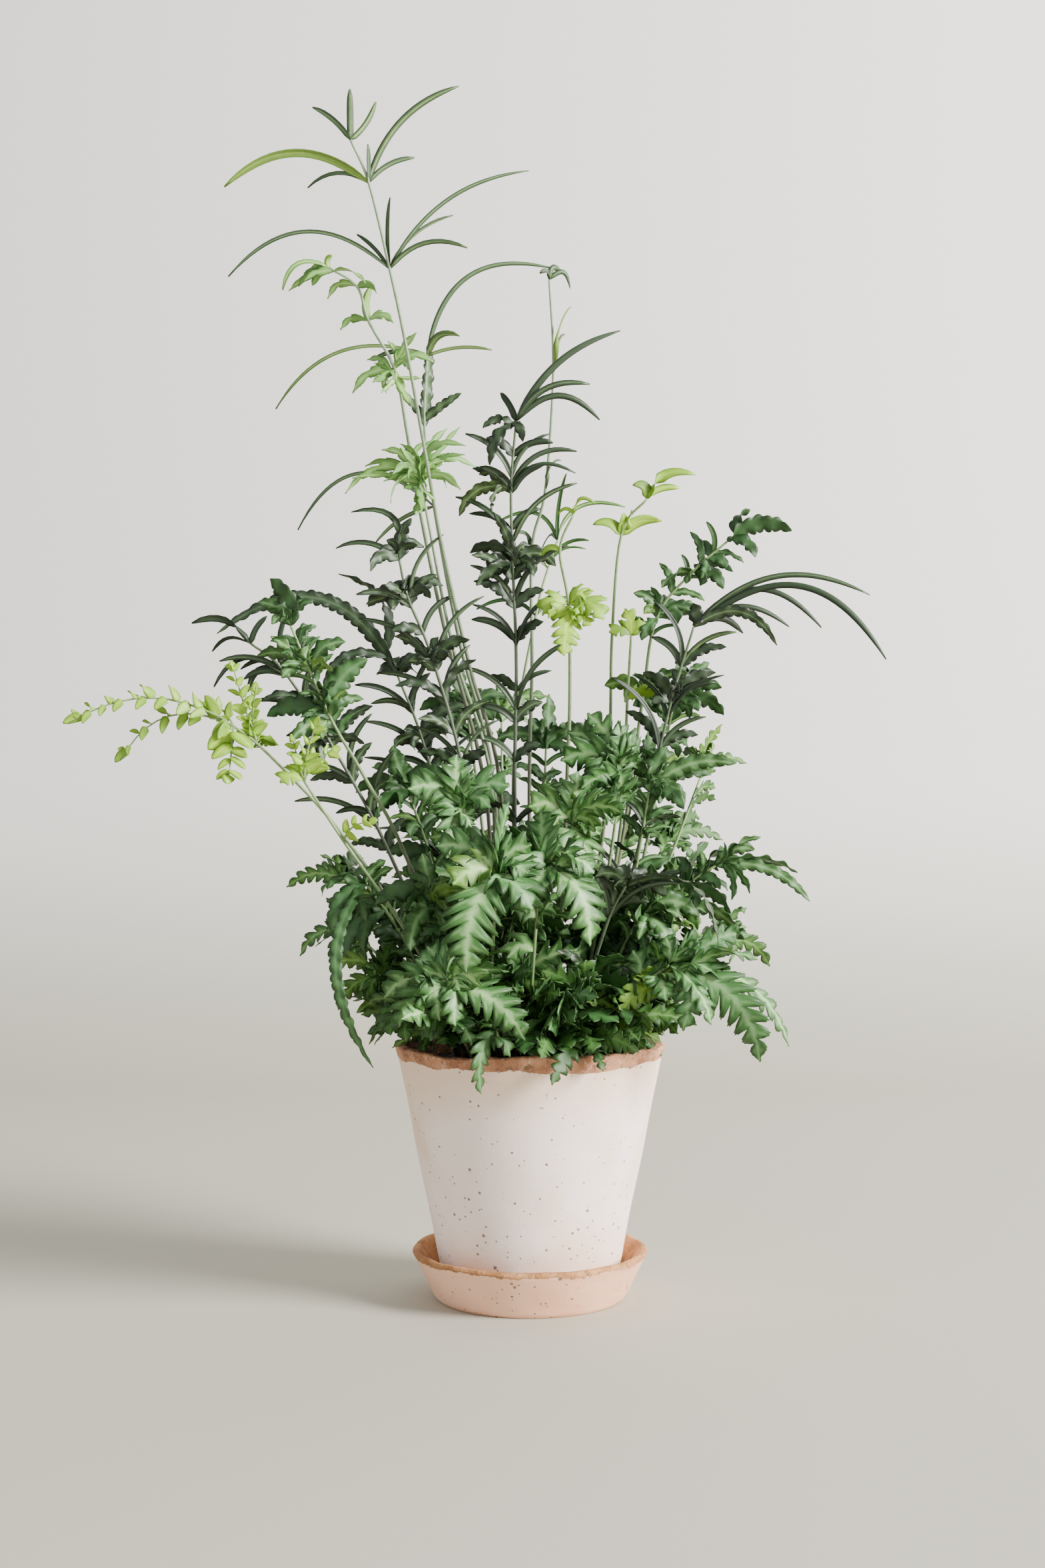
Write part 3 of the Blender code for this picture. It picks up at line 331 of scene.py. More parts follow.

# Small leaflets in pairs down from a stalk's tip: the stretch of stalk that has them,
# from one pair to the next, their length and width, and how steeply they stand
PAIRS = {
    "dark": ((0.20, 0.022, 0.024, 0.0066, 0.7), (0.12, 0.030, 0.043, 0.0048, 1.1)),
    "green": ((0.06, 0.0115, 0.0165, 0.0065, 0.7),),
}
# More leaflets like a frond's own: how many, how far down the stalk's points, and their size
EXTRAS = {"pale": (8, 0.25, 1.0), **dict.fromkeys(BUSHY, (3, 0.7, 0.65))}

NOISE = "ShaderNodeTexNoise"
RANGE = "ShaderNodeMapRange"
MATH = "ShaderNodeMath"
MIX = "ShaderNodeMix"  # its colours are inputs 6 and 7, and its mixed colour is output 2
SMOOTH = {"interpolation_type": "SMOOTHSTEP"}


# ---------------------------------------------------------------- helpers


def linear(colour):
    """sRGB hex to linear RGBA."""
    parts = [int(colour[i:i + 2], 16) / 255.0 for i in (1, 3, 5)]
    values = [c / 12.92 if c <= 0.04045 else ((c + 0.055) / 1.055) ** 2.4 for c in parts]
    return (*values, 1.0)


def add_node(tree, kind, inputs=None, output=0, stops=(), **settings):
    """A node with its settings, its inputs set or linked, and a ramp's stops; gives one of its outputs."""
    node = tree.nodes.new(kind)
    for name, value in settings.items():
        setattr(node, name, value)
    for socket, value in (inputs or {}).items():
        if isinstance(value, bpy.types.NodeSocket):
            tree.links.new(value, node.inputs[socket])
        else:
            node.inputs[socket].default_value = value
    if stops:
        elements = node.color_ramp.elements
        while len(elements) < len(stops):
            elements.new(0.5)
        for element, (position, colour) in zip(elements, stops):
            element.position = position
            element.color = colour
    return node.outputs[output]


def new_material(name):
    material = bpy.data.materials.new(name)
    material.use_nodes = True
    tree = material.node_tree
    return material, tree, tree.nodes["Principled BSDF"]


def object_from(bm, name, materials, replaces):
    """A finished piece from a bmesh, riding on the plant's one body."""
    mesh = bpy.data.meshes.new(name)
    bm.to_mesh(mesh)
    bm.free()
    for material in materials:
        mesh.materials.append(material)
    mesh.shade_smooth()
    piece = bpy.data.objects.new(name, mesh)
    bpy.context.scene.collection.objects.link(piece)
    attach(piece, BODY)
    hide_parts(*replaces)
    return piece


# ---------------------------------------------------------------- clay


def clay_material(name, colours, low, high):
    """Terracotta, thrown and fired, under a thin limewash: matt and dry, and chalky to the eye.

    Colours are the wash, the stains, the raw clay, its scorched patches and the specks, and low
    and high are the heights that the stains and the specks thin out between.
    """
    material, tree, shader = new_material(name)
    wash, stain, raw, raw_dark, speck = [linear(colour) for colour in colours]
    place = add_node(tree, "ShaderNodeTexCoord", output="Object")
    level = add_node(tree, "ShaderNodeSeparateXYZ", {0: place}, "Z")
    height = add_node(tree, RANGE, {"Value": level, "From Min": low, "From Max": high}, **SMOOTH)
    # Peach stains where salts and clay came through the wash: clouds of 80 mm, streaks of 20 mm
    cloud = add_node(tree, NOISE, {"Vector": place, "Scale": 12.0, "Detail": 4.0, "Roughness": 0.6})
    blotches = add_node(
        tree, RANGE, {"Value": cloud, "From Min": 0.43, "From Max": 0.68, "To Max": 0.85}, **SMOOTH)
    drifted = add_node(tree, MATH, {0: cloud, 1: 0.5, 2: height}, operation="MULTIPLY_ADD")
    near_rim = add_node(
        tree, RANGE, {"Value": drifted, "From Min": 0.97, "From Max": 1.25, "To Max": 0.85}, **SMOOTH)
    stained = add_node(tree, MATH, {0: blotches, 1: near_rim}, operation="MAXIMUM")
    washed = add_node(tree, MIX, {0: stained, 6: wash, 7: stain}, 2, data_type="RGBA")
    streaks = add_node(tree, NOISE, {"Vector": place, "Scale": 45.0, "Detail": 5.0, "Roughness": 0.65})
    mottled = add_node(
        tree, RANGE, {"Value": streaks, "From Min": 0.35, "From Max": 0.75, "To Max": 0.22}, **SMOOTH)
    washed = add_node(tree, MIX, {0: mottled, 6: washed, 7: stain}, 2, data_type="RGBA")
    # Dark pits of grog, 0.5 to 2 mm across in cells of 8, 5 and 3 mm, thicker towards the foot
    rarity = add_node(tree, RANGE, {"Value": height, "From Max": 0.6, "To Min": 0.54, "To Max": 0.80})
    pits = 0.0
    for scale, radius in ((120.0, 0.12), (210.0, 0.15), (330.0, 0.17)):
        cells = add_node(tree, "ShaderNodeTexVoronoi", {"Vector": place, "Scale": scale}).node.outputs
        chance = add_node(tree, "ShaderNodeSeparateXYZ", {0: cells["Color"]}).node.outputs
        chosen = add_node(tree, MATH, {0: chance["X"], 1: rarity}, operation="GREATER_THAN")
        size = add_node(
            tree, MATH, {0: chance["Y"], 1: radius, 2: radius * 0.35}, operation="MULTIPLY_ADD")
        dot = add_node(tree, MATH, {0: cells["Distance"], 1: size}, operation="LESS_THAN")
        pit = add_node(tree, MATH, {0: dot, 1: chosen}, operation="MULTIPLY")
        pits = add_node(tree, MATH, {0: pit, 1: pits}, operation="MAXIMUM")
    # Raw clay where the wash stops, at the torn edges and inside: its border is torn in bits of
    # 3 mm, with scorched patches of 14 mm and wash dust in grains of 2.4 mm
    edge = add_node(tree, "ShaderNodeAttribute", output="Fac", attribute_name="raw")
    tear = add_node(tree, NOISE, {"Vector": place, "Scale": 300.0, "Detail": 4.0, "Roughness": 0.65})
    torn = add_node(tree, MATH, {0: tear, 1: 1.5, 2: edge}, operation="MULTIPLY_ADD")
    bare = add_node(tree, RANGE, {"Value": torn, "From Min": 1.17, "From Max": 1.37}, **SMOOTH)
    patches = add_node(tree, NOISE, {"Vector": place, "Scale": 70.0, "Detail": 4.0, "Roughness": 0.6})
    scorched = add_node(tree, RANGE, {"Value": patches, "From Min": 0.35, "From Max": 0.65}, **SMOOTH)
    clay = add_node(tree, MIX, {0: scorched, 6: raw, 7: raw_dark}, 2, data_type="RGBA")
    grain = add_node(tree, NOISE, {"Vector": place, "Scale": 420.0, "Detail": 3.0, "Roughness": 0.7})
    dusty = add_node(
        tree, RANGE, {"Value": grain, "From Min": 0.56, "From Max": 0.7, "To Max": 0.35}, **SMOOTH)
    clay = add_node(tree, MIX, {0: dusty, 6: clay, 7: wash}, 2, data_type="RGBA")
    gritty = add_node(
        tree, RANGE, {"Value": tear, "From Min": 0.46, "From Max": 0.34, "To Max": 0.7}, **SMOOTH)
    clay = add_node(tree, MIX, {0: gritty, 6: clay, 7: speck}, 2, data_type="RGBA")
    surface = add_node(tree, MIX, {0: bare, 6: washed, 7: clay}, 2, data_type="RGBA")
    dark_pits = add_node(tree, MATH, {0: pits, 1: 0.8}, operation="MULTIPLY")
    surface = add_node(tree, MIX, {0: dark_pits, 6: surface, 7: speck}, 2, data_type="RGBA")
    tree.links.new(surface, shader.inputs["Base Color"])
    # A tooth of 1 mm that catches the light, hollows at the pits, and coarse grit on the bare clay
    fine = add_node(tree, NOISE, {"Vector": place, "Scale": 900.0, "Detail": 2.0, "Roughness": 0.6})
    relief = add_node(tree, MATH, {0: streaks, 1: 0.5}, operation="MULTIPLY")
    relief = add_node(tree, MATH, {0: fine, 1: 0.35, 2: relief}, operation="MULTIPLY_ADD")
    relief = add_node(tree, MATH, {0: relief, 1: pits}, operation="SUBTRACT")
    grit = add_node(tree, MATH, {0: grain, 1: 2.2}, operation="MULTIPLY")
    relief = add_node(tree, MATH, {0: grit, 1: bare, 2: relief}, operation="MULTIPLY_ADD")
    bump = add_node(
        tree, "ShaderNodeBump", {"Height": relief, "Strength": 0.45, "Distance": 0.0007}, "Normal")
    tree.links.new(bump, shader.inputs["Normal"])
    shader.inputs["Roughness"].default_value = 0.86
    shader.inputs["Specular IOR Level"].default_value = 0.25
    return material


def spin_profile(bm, profile, steps):
    """Turn a closed profile of (radius, height) points all the way round the pot's axis."""
    verts = [bm.verts.new((radius, 0.0, height)) for radius, height in profile]
    count = len(verts)
    edges = [bm.edges.new((verts[i], verts[(i + 1) % count])) for i in range(count)]
    bmesh.ops.spin(
        bm, geom=verts + edges, cent=(0.0, 0.0, 0.0), axis=(0.0, 0.0, 1.0),
        angle=math.tau, steps=steps, use_merge=True,
    )
    bmesh.ops.remove_doubles(bm, verts=bm.verts, dist=0.00001)
    bmesh.ops.recalc_face_normals(bm, faces=bm.faces)


def outline(corners):
    """A closed profile of (radius, height) points from corners of (radius, height, steps to the next)."""
    points = []
    for (radius, height, steps), following in zip(corners, corners[1:] + corners[:1]):
        for step in range(steps):
            points.append((
                radius + (following[0] - radius) * step / steps,
                height + (following[1] - height) * step / steps))
    return points


def round_noise(angle, frequency, seed):
    """Smooth noise round the pot's axis, about -1 to 1."""
    point = Vector((math.cos(angle) * frequency, math.sin(angle) * frequency, seed))
    return noise.noise(point) * 2.0


TORN_ZONE = 0.016  # how far below its top the pot's wall is rough, at most


class PotSettings(bpy.types.PropertyGroup):
    base_radius: bpy.props.FloatProperty(
        name="Base Radius", description="Outside radius of the pot where it stands",
        default=0.0515, unit="LENGTH")
    wall: bpy.props.FloatProperty(
        name="Wall", description="Thickness of the pot's wall", default=0.0065, unit="LENGTH")
    floor: bpy.props.FloatProperty(
        name="Floor", description="Thickness of the pot's floor", default=0.009, unit="LENGTH")
    drain_radius: bpy.props.FloatProperty(
        name="Drain Radius", description="Radius of the drainage hole", default=0.009, unit="LENGTH")
    torn_band: bpy.props.FloatProperty(
        name="Torn Band", description="Usual height of the torn raw edge", default=0.0072, unit="LENGTH")
    wash: bpy.props.StringProperty(
        name="Wash", description="Colour of the chalky wash, as hex", default="#F9E7DE")
    stain: bpy.props.StringProperty(
        name="Stain", description="Colour of the peach stains, as hex", default="#EBCDB3")
    raw: bpy.props.StringProperty(
        name="Raw Clay", description="Colour of the bare clay, as hex", default="#C08C6A")
    raw_dark: bpy.props.StringProperty(
        name="Dark Clay", description="Colour of scorched bare clay, as hex", default="#97674B")


class FERN_OT_pot(bpy.types.Operator):
    """Throw the pot with its torn raw edge"""
    bl_idname = "fern.pot"
    bl_label = "Pot"

    def execute(self, context):
        s = context.scene.fern_pot
        top, bottom = RIM_TOP, POT_LOW[2]
        inner = POT_RADIUS - s.wall
        inner_foot = s.base_radius + (POT_RADIUS - s.base_radius) * s.floor / (top - bottom) - s.wall
        slope = (POT_RADIUS - s.base_radius) / (top - bottom)
        lip, bevel = 0.001, 0.0016
        shoulder = top - TORN_ZONE
        bm = bmesh.new()
        spin_profile(bm, outline([
            (inner + lip, top, 5),
            (POT_RADIUS - lip, top, 2),
            (POT_RADIUS, top - lip, 18),
            (POT_RADIUS - slope * (top - shoulder), shoulder, 22),
            (s.base_radius + slope * bevel, bottom + bevel, 3),
            (s.base_radius - bevel, bottom, 3),
            (s.drain_radius, bottom, 2),
            (s.drain_radius, bottom + s.floor, 3),
            (inner_foot, bottom + s.floor, 8),
            (inner - 0.003, top - TORN_ZONE, 12),
        ]), 224)
        raw = bm.verts.layers.float.new("raw")
        for vert in bm.verts:
            angle = math.atan2(vert.co.y, vert.co.x)
            radius = math.hypot(vert.co.x, vert.co.y)
            out = Vector((math.cos(angle), math.sin(angle), 0.0))
            depth = top - vert.co.z
            band = s.torn_band + 0.0014 * round_noise(angle, 1.3, 3.0) + 0.0011 * round_noise(angle, 5.0, 8.0)
            outside = radius > inner + 0.0022 + depth * -0.2
            below = max(0.0, depth - band)  # how far the point is under the torn edge
            fine = noise.noise(vert.co * 900.0)
            lumps = noise.noise(vert.co * 260.0)
            vert[raw] = max(0.0, 1.0 - below / 0.0026) if outside else 1.0
            if depth < TORN_ZONE and radius > inner - 0.004:
                edge = max(0.0, 1.0 - below / 0.0012) if outside else 0.5
                vert.co += out * edge * (0.0007 * lumps + 0.0004 * fine)
                sink = max(0.0, 1.0 - depth / 0.012)
                dip = 0.0011 * (round_noise(angle, 1.7, 21.0) - 1.0)
                dip += 0.0006 * (round_noise(angle, 7.0, 4.0) - 1.0)
                vert.co.z += sink * (dip + 0.0005 * lumps + 0.0003 * fine)
            elif outside:
                vert.co += out * 0.0003 * round_noise(angle, 2.0, vert.co.z * 30.0)
        material = clay_material(
            "Limewashed terracotta", (s.wash, s.stain, s.raw, s.raw_dark, "#5C4A3E"), bottom, top)
        object_from(bm, "thrown_pot", [material], ["pot"])
        return {"FINISHED"}


class SaucerSettings(bpy.types.PropertyGroup):
    foot_radius: bpy.props.FloatProperty(
        name="Foot Radius", description="Outside radius of the saucer where it stands",
        default=0.0565, unit="LENGTH")
    wall: bpy.props.FloatProperty(
        name="Wall", description="Thickness of the saucer's wall", default=0.005, unit="LENGTH")
    floor: bpy.props.FloatProperty(
        name="Floor", description="Thickness of the saucer's floor", default=0.008, unit="LENGTH")
    wash: bpy.props.StringProperty(
        name="Wash", description="Colour of the chalky wash, as hex", default="#F1C3A6")
    stain: bpy.props.StringProperty(
        name="Stain", description="Colour of the peach stains, as hex", default="#E3AC88")
    raw: bpy.props.StringProperty(
        name="Raw Clay", description="Colour of the bare clay, as hex", default="#C08B5E")
    raw_dark: bpy.props.StringProperty(
        name="Dark Clay", description="Colour of scorched bare clay, as hex", default="#97683F")


class FERN_OT_saucer(bpy.types.Operator):
    """Throw the saucer that the pot stands in"""
    bl_idname = "fern.saucer"
    bl_label = "Saucer"

    def execute(self, context):
        s = context.scene.fern_saucer
        top = SAUCER_HIGH[2]
        inner = SAUCER_RADIUS - s.wall
        inner_foot = s.foot_radius - s.wall * 0.5
        pole = 0.0004  # a small ring, closed to one point after the spin
        bm = bmesh.new()
        spin_profile(bm, outline([
            (pole, s.floor, 1),
            (0.02, s.floor, 4),
            (inner_foot - 0.002, s.floor, 3),
            (inner_foot + 0.0015, s.floor + 0.0025, 8),
            (inner, top - 0.0012, 3),
            (inner + 0.0014, top, 3),
            (SAUCER_RADIUS - 0.0014, top, 3),
            (SAUCER_RADIUS, top - 0.0016, 12),
            (s.foot_radius + 0.0008, 0.0016, 3),
            (s.foot_radius - 0.001, 0.0, 4),
            (pole, 0.0, 1),
        ]), 192)
        poles = [v for v in bm.verts if math.hypot(v.co.x, v.co.y) < pole * 1.5]
        bmesh.ops.remove_doubles(bm, verts=poles, dist=pole * 2.5)
        raw = bm.verts.layers.float.new("raw")
        for vert in bm.verts:
            angle = math.atan2(vert.co.y, vert.co.x)
            radius = math.hypot(vert.co.x, vert.co.y)
            depth = top - vert.co.z
            edge = 0.0030 + 0.0011 * round_noise(angle, 3.0, 5.0)
            middle = s.foot_radius + (SAUCER_RADIUS - s.foot_radius) * vert.co.z / top - s.wall * 0.5
            inside = radius < middle and vert.co.z > s.floor - 0.001
            vert[raw] = 1.0 if inside else max(0.0, min(1.0, (edge - depth) / 0.0022 + 0.5))
            if vert.co.z > 0.004:
                out = Vector((math.cos(angle), math.sin(angle), 0.0))
                vert.co += out * 0.00035 * round_noise(angle, 2.5, 40.0 + vert.co.z * 40.0)
            if depth < 0.004:
                vert.co.z += 0.0004 * round_noise(angle, 4.0, 11.0) - 0.0004
        bmesh.ops.recalc_face_normals(bm, faces=bm.faces)
        material = clay_material(
            "Limewashed saucer clay", (s.wash, s.stain, s.raw, s.raw_dark, "#7A5A42"), -0.02, 0.10)
        object_from(bm, "thrown_saucer", [material], ["saucer"])
        return {"FINISHED"}


# ---------------------------------------------------------------- potting mix


def mix_material():
    """Peat and bark potting mix: near black when damp, with paler fibres and crumbs.

    Crumbs are 4 mm across, in lumps of 17 mm.
    """
    material, tree, shader = new_material("Damp peat potting mix")
    place = add_node(tree, "ShaderNodeTexCoord", output="Object")
    crumbs = add_node(tree, NOISE, {"Vector": place, "Scale": 260.0, "Detail": 5.0, "Roughness": 0.7})
    lumps = add_node(tree, NOISE, {"Vector": place, "Scale": 60.0, "Detail": 3.0, "Roughness": 0.6})
    tone = add_node(tree, MATH, {0: lumps, 1: 0.4}, operation="MULTIPLY")
    tone = add_node(tree, MATH, {0: crumbs, 1: 0.6, 2: tone}, operation="MULTIPLY_ADD")
    colour = add_node(tree, "ShaderNodeValToRGB", {0: tone}, stops=(
        (0.30, linear("#17110D")), (0.50, linear("#2B2019")), (0.62, linear("#46352A")),
        (0.75, linear("#6D5644"))))
    tree.links.new(colour, shader.inputs["Base Color"])
    bump = add_node(
        tree, "ShaderNodeBump", {"Height": crumbs, "Strength": 0.8, "Distance": 0.0015}, "Normal")
    tree.links.new(bump, shader.inputs["Normal"])
    shader.inputs["Roughness"].default_value = 0.95
    shader.inputs["Specular IOR Level"].default_value = 0.2
    return material


class MixSettings(bpy.types.PropertyGroup):
    crumbs: bpy.props.IntProperty(
        name="Crumbs", description="Loose crumbs and bark chips on the potting mix", default=420)
    crumb_size: bpy.props.FloatProperty(
        name="Crumb Size", description="Usual size of a crumb", default=0.0022, unit="LENGTH")


class FERN_OT_mix(bpy.types.Operator):
    """Fill the pot with crumbly potting mix"""
    bl_idname = "fern.mix"
    bl_label = "Potting Mix"

    def execute(self, context):
        s = context.scene.fern_mix
        draws = random.Random(11)
        radius, bottom = MIX_HIGH[0], MIX_LOW[2]
        foot = radius * 0.68  # the plug tapers with the pot
        rings = 14
        bm = bmesh.new()
        disc = bmesh.ops.create_circle(bm, cap_ends=True, segments=96, radius=radius)["verts"]
        face = bm.faces[:]
        for vert in disc:
            vert.co.z = MIX_TOP
        for _ in range(rings):
            bmesh.ops.inset_region(bm, faces=face, thickness=radius / (rings + 1.5), depth=0.0)
        rim = [e for e in bm.edges if e.is_boundary]
        made = bmesh.ops.extrude_edge_only(bm, edges=rim)["geom"]
        for vert in [item for item in made if isinstance(item, bmesh.types.BMVert)]:
            vert.co = Vector((vert.co.x * foot / radius, vert.co.y * foot / radius, bottom))
        bmesh.ops.contextual_create(bm, geom=[e for e in bm.edges if e.is_boundary])
        for vert in bm.verts:
            if vert.co.z > bottom + 0.001:
                reach = math.hypot(vert.co.x, vert.co.y) / radius
                bumps = noise.noise(vert.co * 110.0) * 0.0016 + noise.noise(vert.co * 330.0) * 0.0008
                vert.co.z += bumps * min(1.0, (1.0 - reach) * 8.0 + 0.2) - 0.0008
        for _ in range(s.crumbs):
            angle = draws.uniform(0.0, math.tau)
            reach = radius * math.sqrt(draws.random()) * 0.96
            size = s.crumb_size * draws.uniform(0.35, 1.0)
            turn = draws.uniform(0.0, math.tau)
            turned = Matrix.Rotation(turn, 4, Vector((draws.random(), draws.random(), 1.0)))
            flat = draws.uniform(0.8, 1.8), draws.uniform(0.5, 1.0), draws.uniform(0.3, 0.7), 1.0
            where = Matrix.Translation((math.cos(angle) * reach, math.sin(angle) * reach, MIX_TOP - 0.0002))
            made = bmesh.ops.create_icosphere(
                bm, subdivisions=1, radius=size * 0.5, matrix=where @ turned @ Matrix.Diagonal(flat))
            for vert in made["verts"]:
                vert.co += noise.noise_vector(vert.co * 700.0) * size * 0.16
        bmesh.ops.recalc_face_normals(bm, faces=bm.faces)
        object_from(bm, "peat_mix", [mix_material()], ["potting_mix"])
        return {"FINISHED"}


# ---------------------------------------------------------------- fronds


def place(x, y, height):
    """A row's point in metres: what grows past the rim keeps its distance from it."""
    reach = math.hypot(x, y) * MM
    if reach < TABLE_RIM_RADIUS:
        share = POT_RADIUS / TABLE_RIM_RADIUS
    else:
        share = (reach + POT_RADIUS - TABLE_RIM_RADIUS) / reach
    return Vector((x * MM * share, y * MM * share, RIM_TOP + height * MM))


def stalk_points(foot, points):
    """Points up a stalk, which starts a little way down in the potting mix."""
    base = place(foot[0], foot[1], 0.0)
    base.z = MIX_TOP
    return [base] + [place(*point) for point in points]


def turn_of(name, points, leaflets):
    """How far the CAD frond stands turned about its foot: the turn whose box fits it best."""
    low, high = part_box(f"frond_{name}")
    tips = points[1:] + [points[row[0]] + Vector(row[1:4]) * MM for row in leaflets]
    least, best = 1.0e9, 0
    for turn in TURNS:
        spin = Matrix.Rotation(math.radians(turn), 3, "Z")
        moved = [points[0] + spin @ (tip - points[0]) for tip in tips]
        miss = 0.0
        for axis in (0, 1):
            miss += abs(min(p[axis] for p in moved) - low[axis])
            miss += abs(max(p[axis] for p in moved) - high[axis])
        if miss < least - 0.4 * MM:
            least, best = miss, turn
    return best


def smooth_point(points, spot):
    """A point on the smooth curve through a stalk's points; spot counts the points from 0."""
    last = len(points) - 1
    index = min(int(spot), last - 1)
    share = spot - index
    p1, p2 = points[index], points[index + 1]
    p0 = points[index - 1] if index > 0 else p1 - Vector((0.0, 0.0, (p2 - p1).length * 0.8))
    p3 = points[index + 2] if index + 2 <= last else p2 + (p2 - p1) * 0.6
    return 0.5 * (
        (2.0 * p1) + (p2 - p0) * share + (2.0 * p0 - 5.0 * p1 + 4.0 * p2 - p3) * share ** 2
        + (3.0 * p1 - p0 - 3.0 * p2 + p3) * share ** 3)


def way_at(points, spot):
    """The direction that a stalk runs in at a spot."""
    ahead = smooth_point(points, min(len(points) - 1, spot + 0.03))
    behind = smooth_point(points, max(0.0, spot - 0.03))
    return (ahead - behind).normalized()


def leaflet_point(base, reach, arch, share):
    """A point along a leaflet's midrib, which arches up and away from the pot."""
    line = reach.normalized()
    away = Vector((base.x, base.y, 0.0)).normalized() * 0.35
    rise = Vector((0.0, 0.0, 1.0)) + away
    rise = (rise - line * rise.dot(line)).normalized()
    return base + reach * share + rise * arch * 4.0 * share * (1.0 - share)


def grow_blade(bm, layers, cut, blade, side_way, roll, shade, phase, coarse=False):
    """One leaflet's blade: a grid bent along its midrib, with lobes, teeth, waves and a fold."""
    uv_layer, shade_layer = layers
    base, reach, arch, width = blade
    lobe_mm, depth, forward, wave, curl, spread, lobe_rows, blunt = CUTS[cut]
    width *= spread
    length = reach.length
    if lobe_mm:
        lobe_length = lobe_mm * MM * (0.75 + 0.25 * min(1.6, width / 0.012))
        lobes = max(2.0, round(length / lobe_length))
        rows = int(lobes * (min(lobe_rows, 6) if coarse else lobe_rows))
    else:
        lobes = 1.0
        rows = max(8, int(length / 0.004))
    notch = 0.20 if depth > 0.7 else 0.0
    verts = bmesh.ops.create_grid(bm, x_segments=4, y_segments=rows, size=1.0)["verts"]
    spots = {}
    for vert in verts:
        across_share, share = vert.co.x, (vert.co.y + 1.0) * 0.5
        edge = abs(across_share)
        opening = min(1.0, share / 0.16)
        outline_share = (0.30 + 0.70 * opening * (2.0 - opening)) * max(0.0, 1.0 - share ** blunt) ** 0.7
        if lobe_mm:
            offset = 0.22 if across_share > 0.0 else -0.22
            beat = abs(math.sin(math.pi * (lobes * share + offset * 0.5 + 0.12)))
            outline_share *= 1.0 - depth + depth * (max(0.0, beat - notch) / (1.0 - notch)) ** 0.42
        if depth > 0.5 and edge > 0.9 and round(share * rows) % 2:
            outline_share *= 0.90  # fine teeth
        half = max(0.5 * width * outline_share, 0.00035)
        swept = min(1.0, share + forward * edge * half / length * (1.0 - share ** 3))
        centre = leaflet_point(base, reach, arch, swept)
        ahead = leaflet_point(base, reach, arch, min(1.0, swept + 0.02))
        behind = leaflet_point(base, reach, arch, max(0.0, swept - 0.02))
        way = (ahead - behind).normalized()
        flat = (side_way - way * side_way.dot(way)).normalized()
        up = way.cross(flat)
        angle = roll + roll * 0.7 * share
        across = flat * math.cos(angle) + up * math.sin(angle)
        lift = up * math.cos(angle) - flat * math.sin(angle)
        side_phase = phase + (1.7 if across_share > 0.0 else 0.0)
        ripple = wave * MM * edge ** 1.6 * math.sin(math.tau * lobes * 0.5 * share + side_phase)
        ripple *= min(1.0, share * 5.0) * min(1.0, half / 0.003)
        bow = -curl * half * edge * edge + 0.10 * half * edge
        vert.co = centre + across * across_share * half + lift * (ripple + bow)
        vert[shade_layer] = shade
        spots[vert] = (across_share * 0.5 + 0.5, share * lobes)
    for face in {face for vert in verts for face in vert.link_faces}:
        for loop in face.loops:
            loop[uv_layer].uv = spots[loop.vert]


def fan_of(draws, cut, blade, bare):
    """A leaflet with the smaller ones that fork from its base, as (base, reach, arch, width) each."""
    base, reach, arch, width = blade
    length = reach.length
    if cut == "ribbon" or length < 0.019 or width < 0.0078:
        return [blade]
    blades = [blade]
    line = reach.normalized()
    for side in (-1.0, 1.0):
        if draws.random() < bare:
            continue
        spread = Vector((draws.uniform(-0.3, 0.3), -0.35, draws.uniform(-0.2, 0.5)))
        sideways = line.cross(Vector((0.0, -1.0, 0.25))).normalized() * side
        way = (line * 0.62 + sideways * draws.uniform(0.65, 0.95) + spread * 0.35).normalized()
        start = leaflet_point(base, reach, arch, draws.uniform(0.06, 0.16))
        size = draws.uniform(0.38, 0.56)
        blades.append((start, way * length * size, arch * 0.4 + 0.001, width * draws.uniform(0.62, 0.8)))
    return blades


def feather_of(draws, blade):
    """A young leaflet divided right to its midrib: rounded small ones on both sides and at the tip."""
    base, reach, arch, width = blade
    length = reach.length
    loose = 1.0 if length > 0.06 else 0.0
    pairs = max(3, int(length / (0.0075 + 0.0035 * loose)))
    line = reach.normalized()
    sideways = line.cross(Vector((0.0, -1.0, 0.2))).normalized()
    blades = []
    for index in range(pairs):
        for side in (-1.0, 1.0):
            share = (index + 0.35 + 0.3 * side * loose + draws.uniform(0.0, 0.5)) / (pairs + 0.2)
            share = min(0.97, max(0.02, share))
            start = leaflet_point(base, reach, arch, share)
            along = (leaflet_point(base, reach, arch, share + 0.03) - start).normalized()
            size = width * (1.05 - 0.55 * share) * draws.uniform(0.75, 1.1)
            way = sideways * side + along * draws.uniform(0.6, 1.1)
            way += Vector((0.0, draws.uniform(-0.4, 0.2), 0.0))
            blades.append((start, way.normalized() * size, 0.0008, size * draws.uniform(0.5, 0.68)))
    start = leaflet_point(base, reach, arch, 0.92)
    blades.append((start, (base + reach - start) + line * 0.003, 0.0005, width * 0.45))
    return blades


def extra_leaflets(draws, points, leaflets, count, depth, scale):
    """More leaflets lower on the stalk, shaped like the short ones above."""
    last = len(points) - 1
    models = [row for row in leaflets if Vector(row[1:4]).length < 42.0 and row[5] > 6] or leaflets
    rows = []
    for _ in range(count):
        model = draws.choice(models)
        spot = last - draws.uniform(0.15, min(depth, last - 1.0))
        size = scale * draws.uniform(0.8, 1.2)
        turn = Matrix.Rotation(draws.uniform(-1.2, 1.2), 3, way_at(points, spot))
        reach = turn @ (Vector(model[1:4]) * MM * size)
        rows.append((spot, reach, model[4] * MM * 0.6, model[5] * MM * 0.85))
    return rows


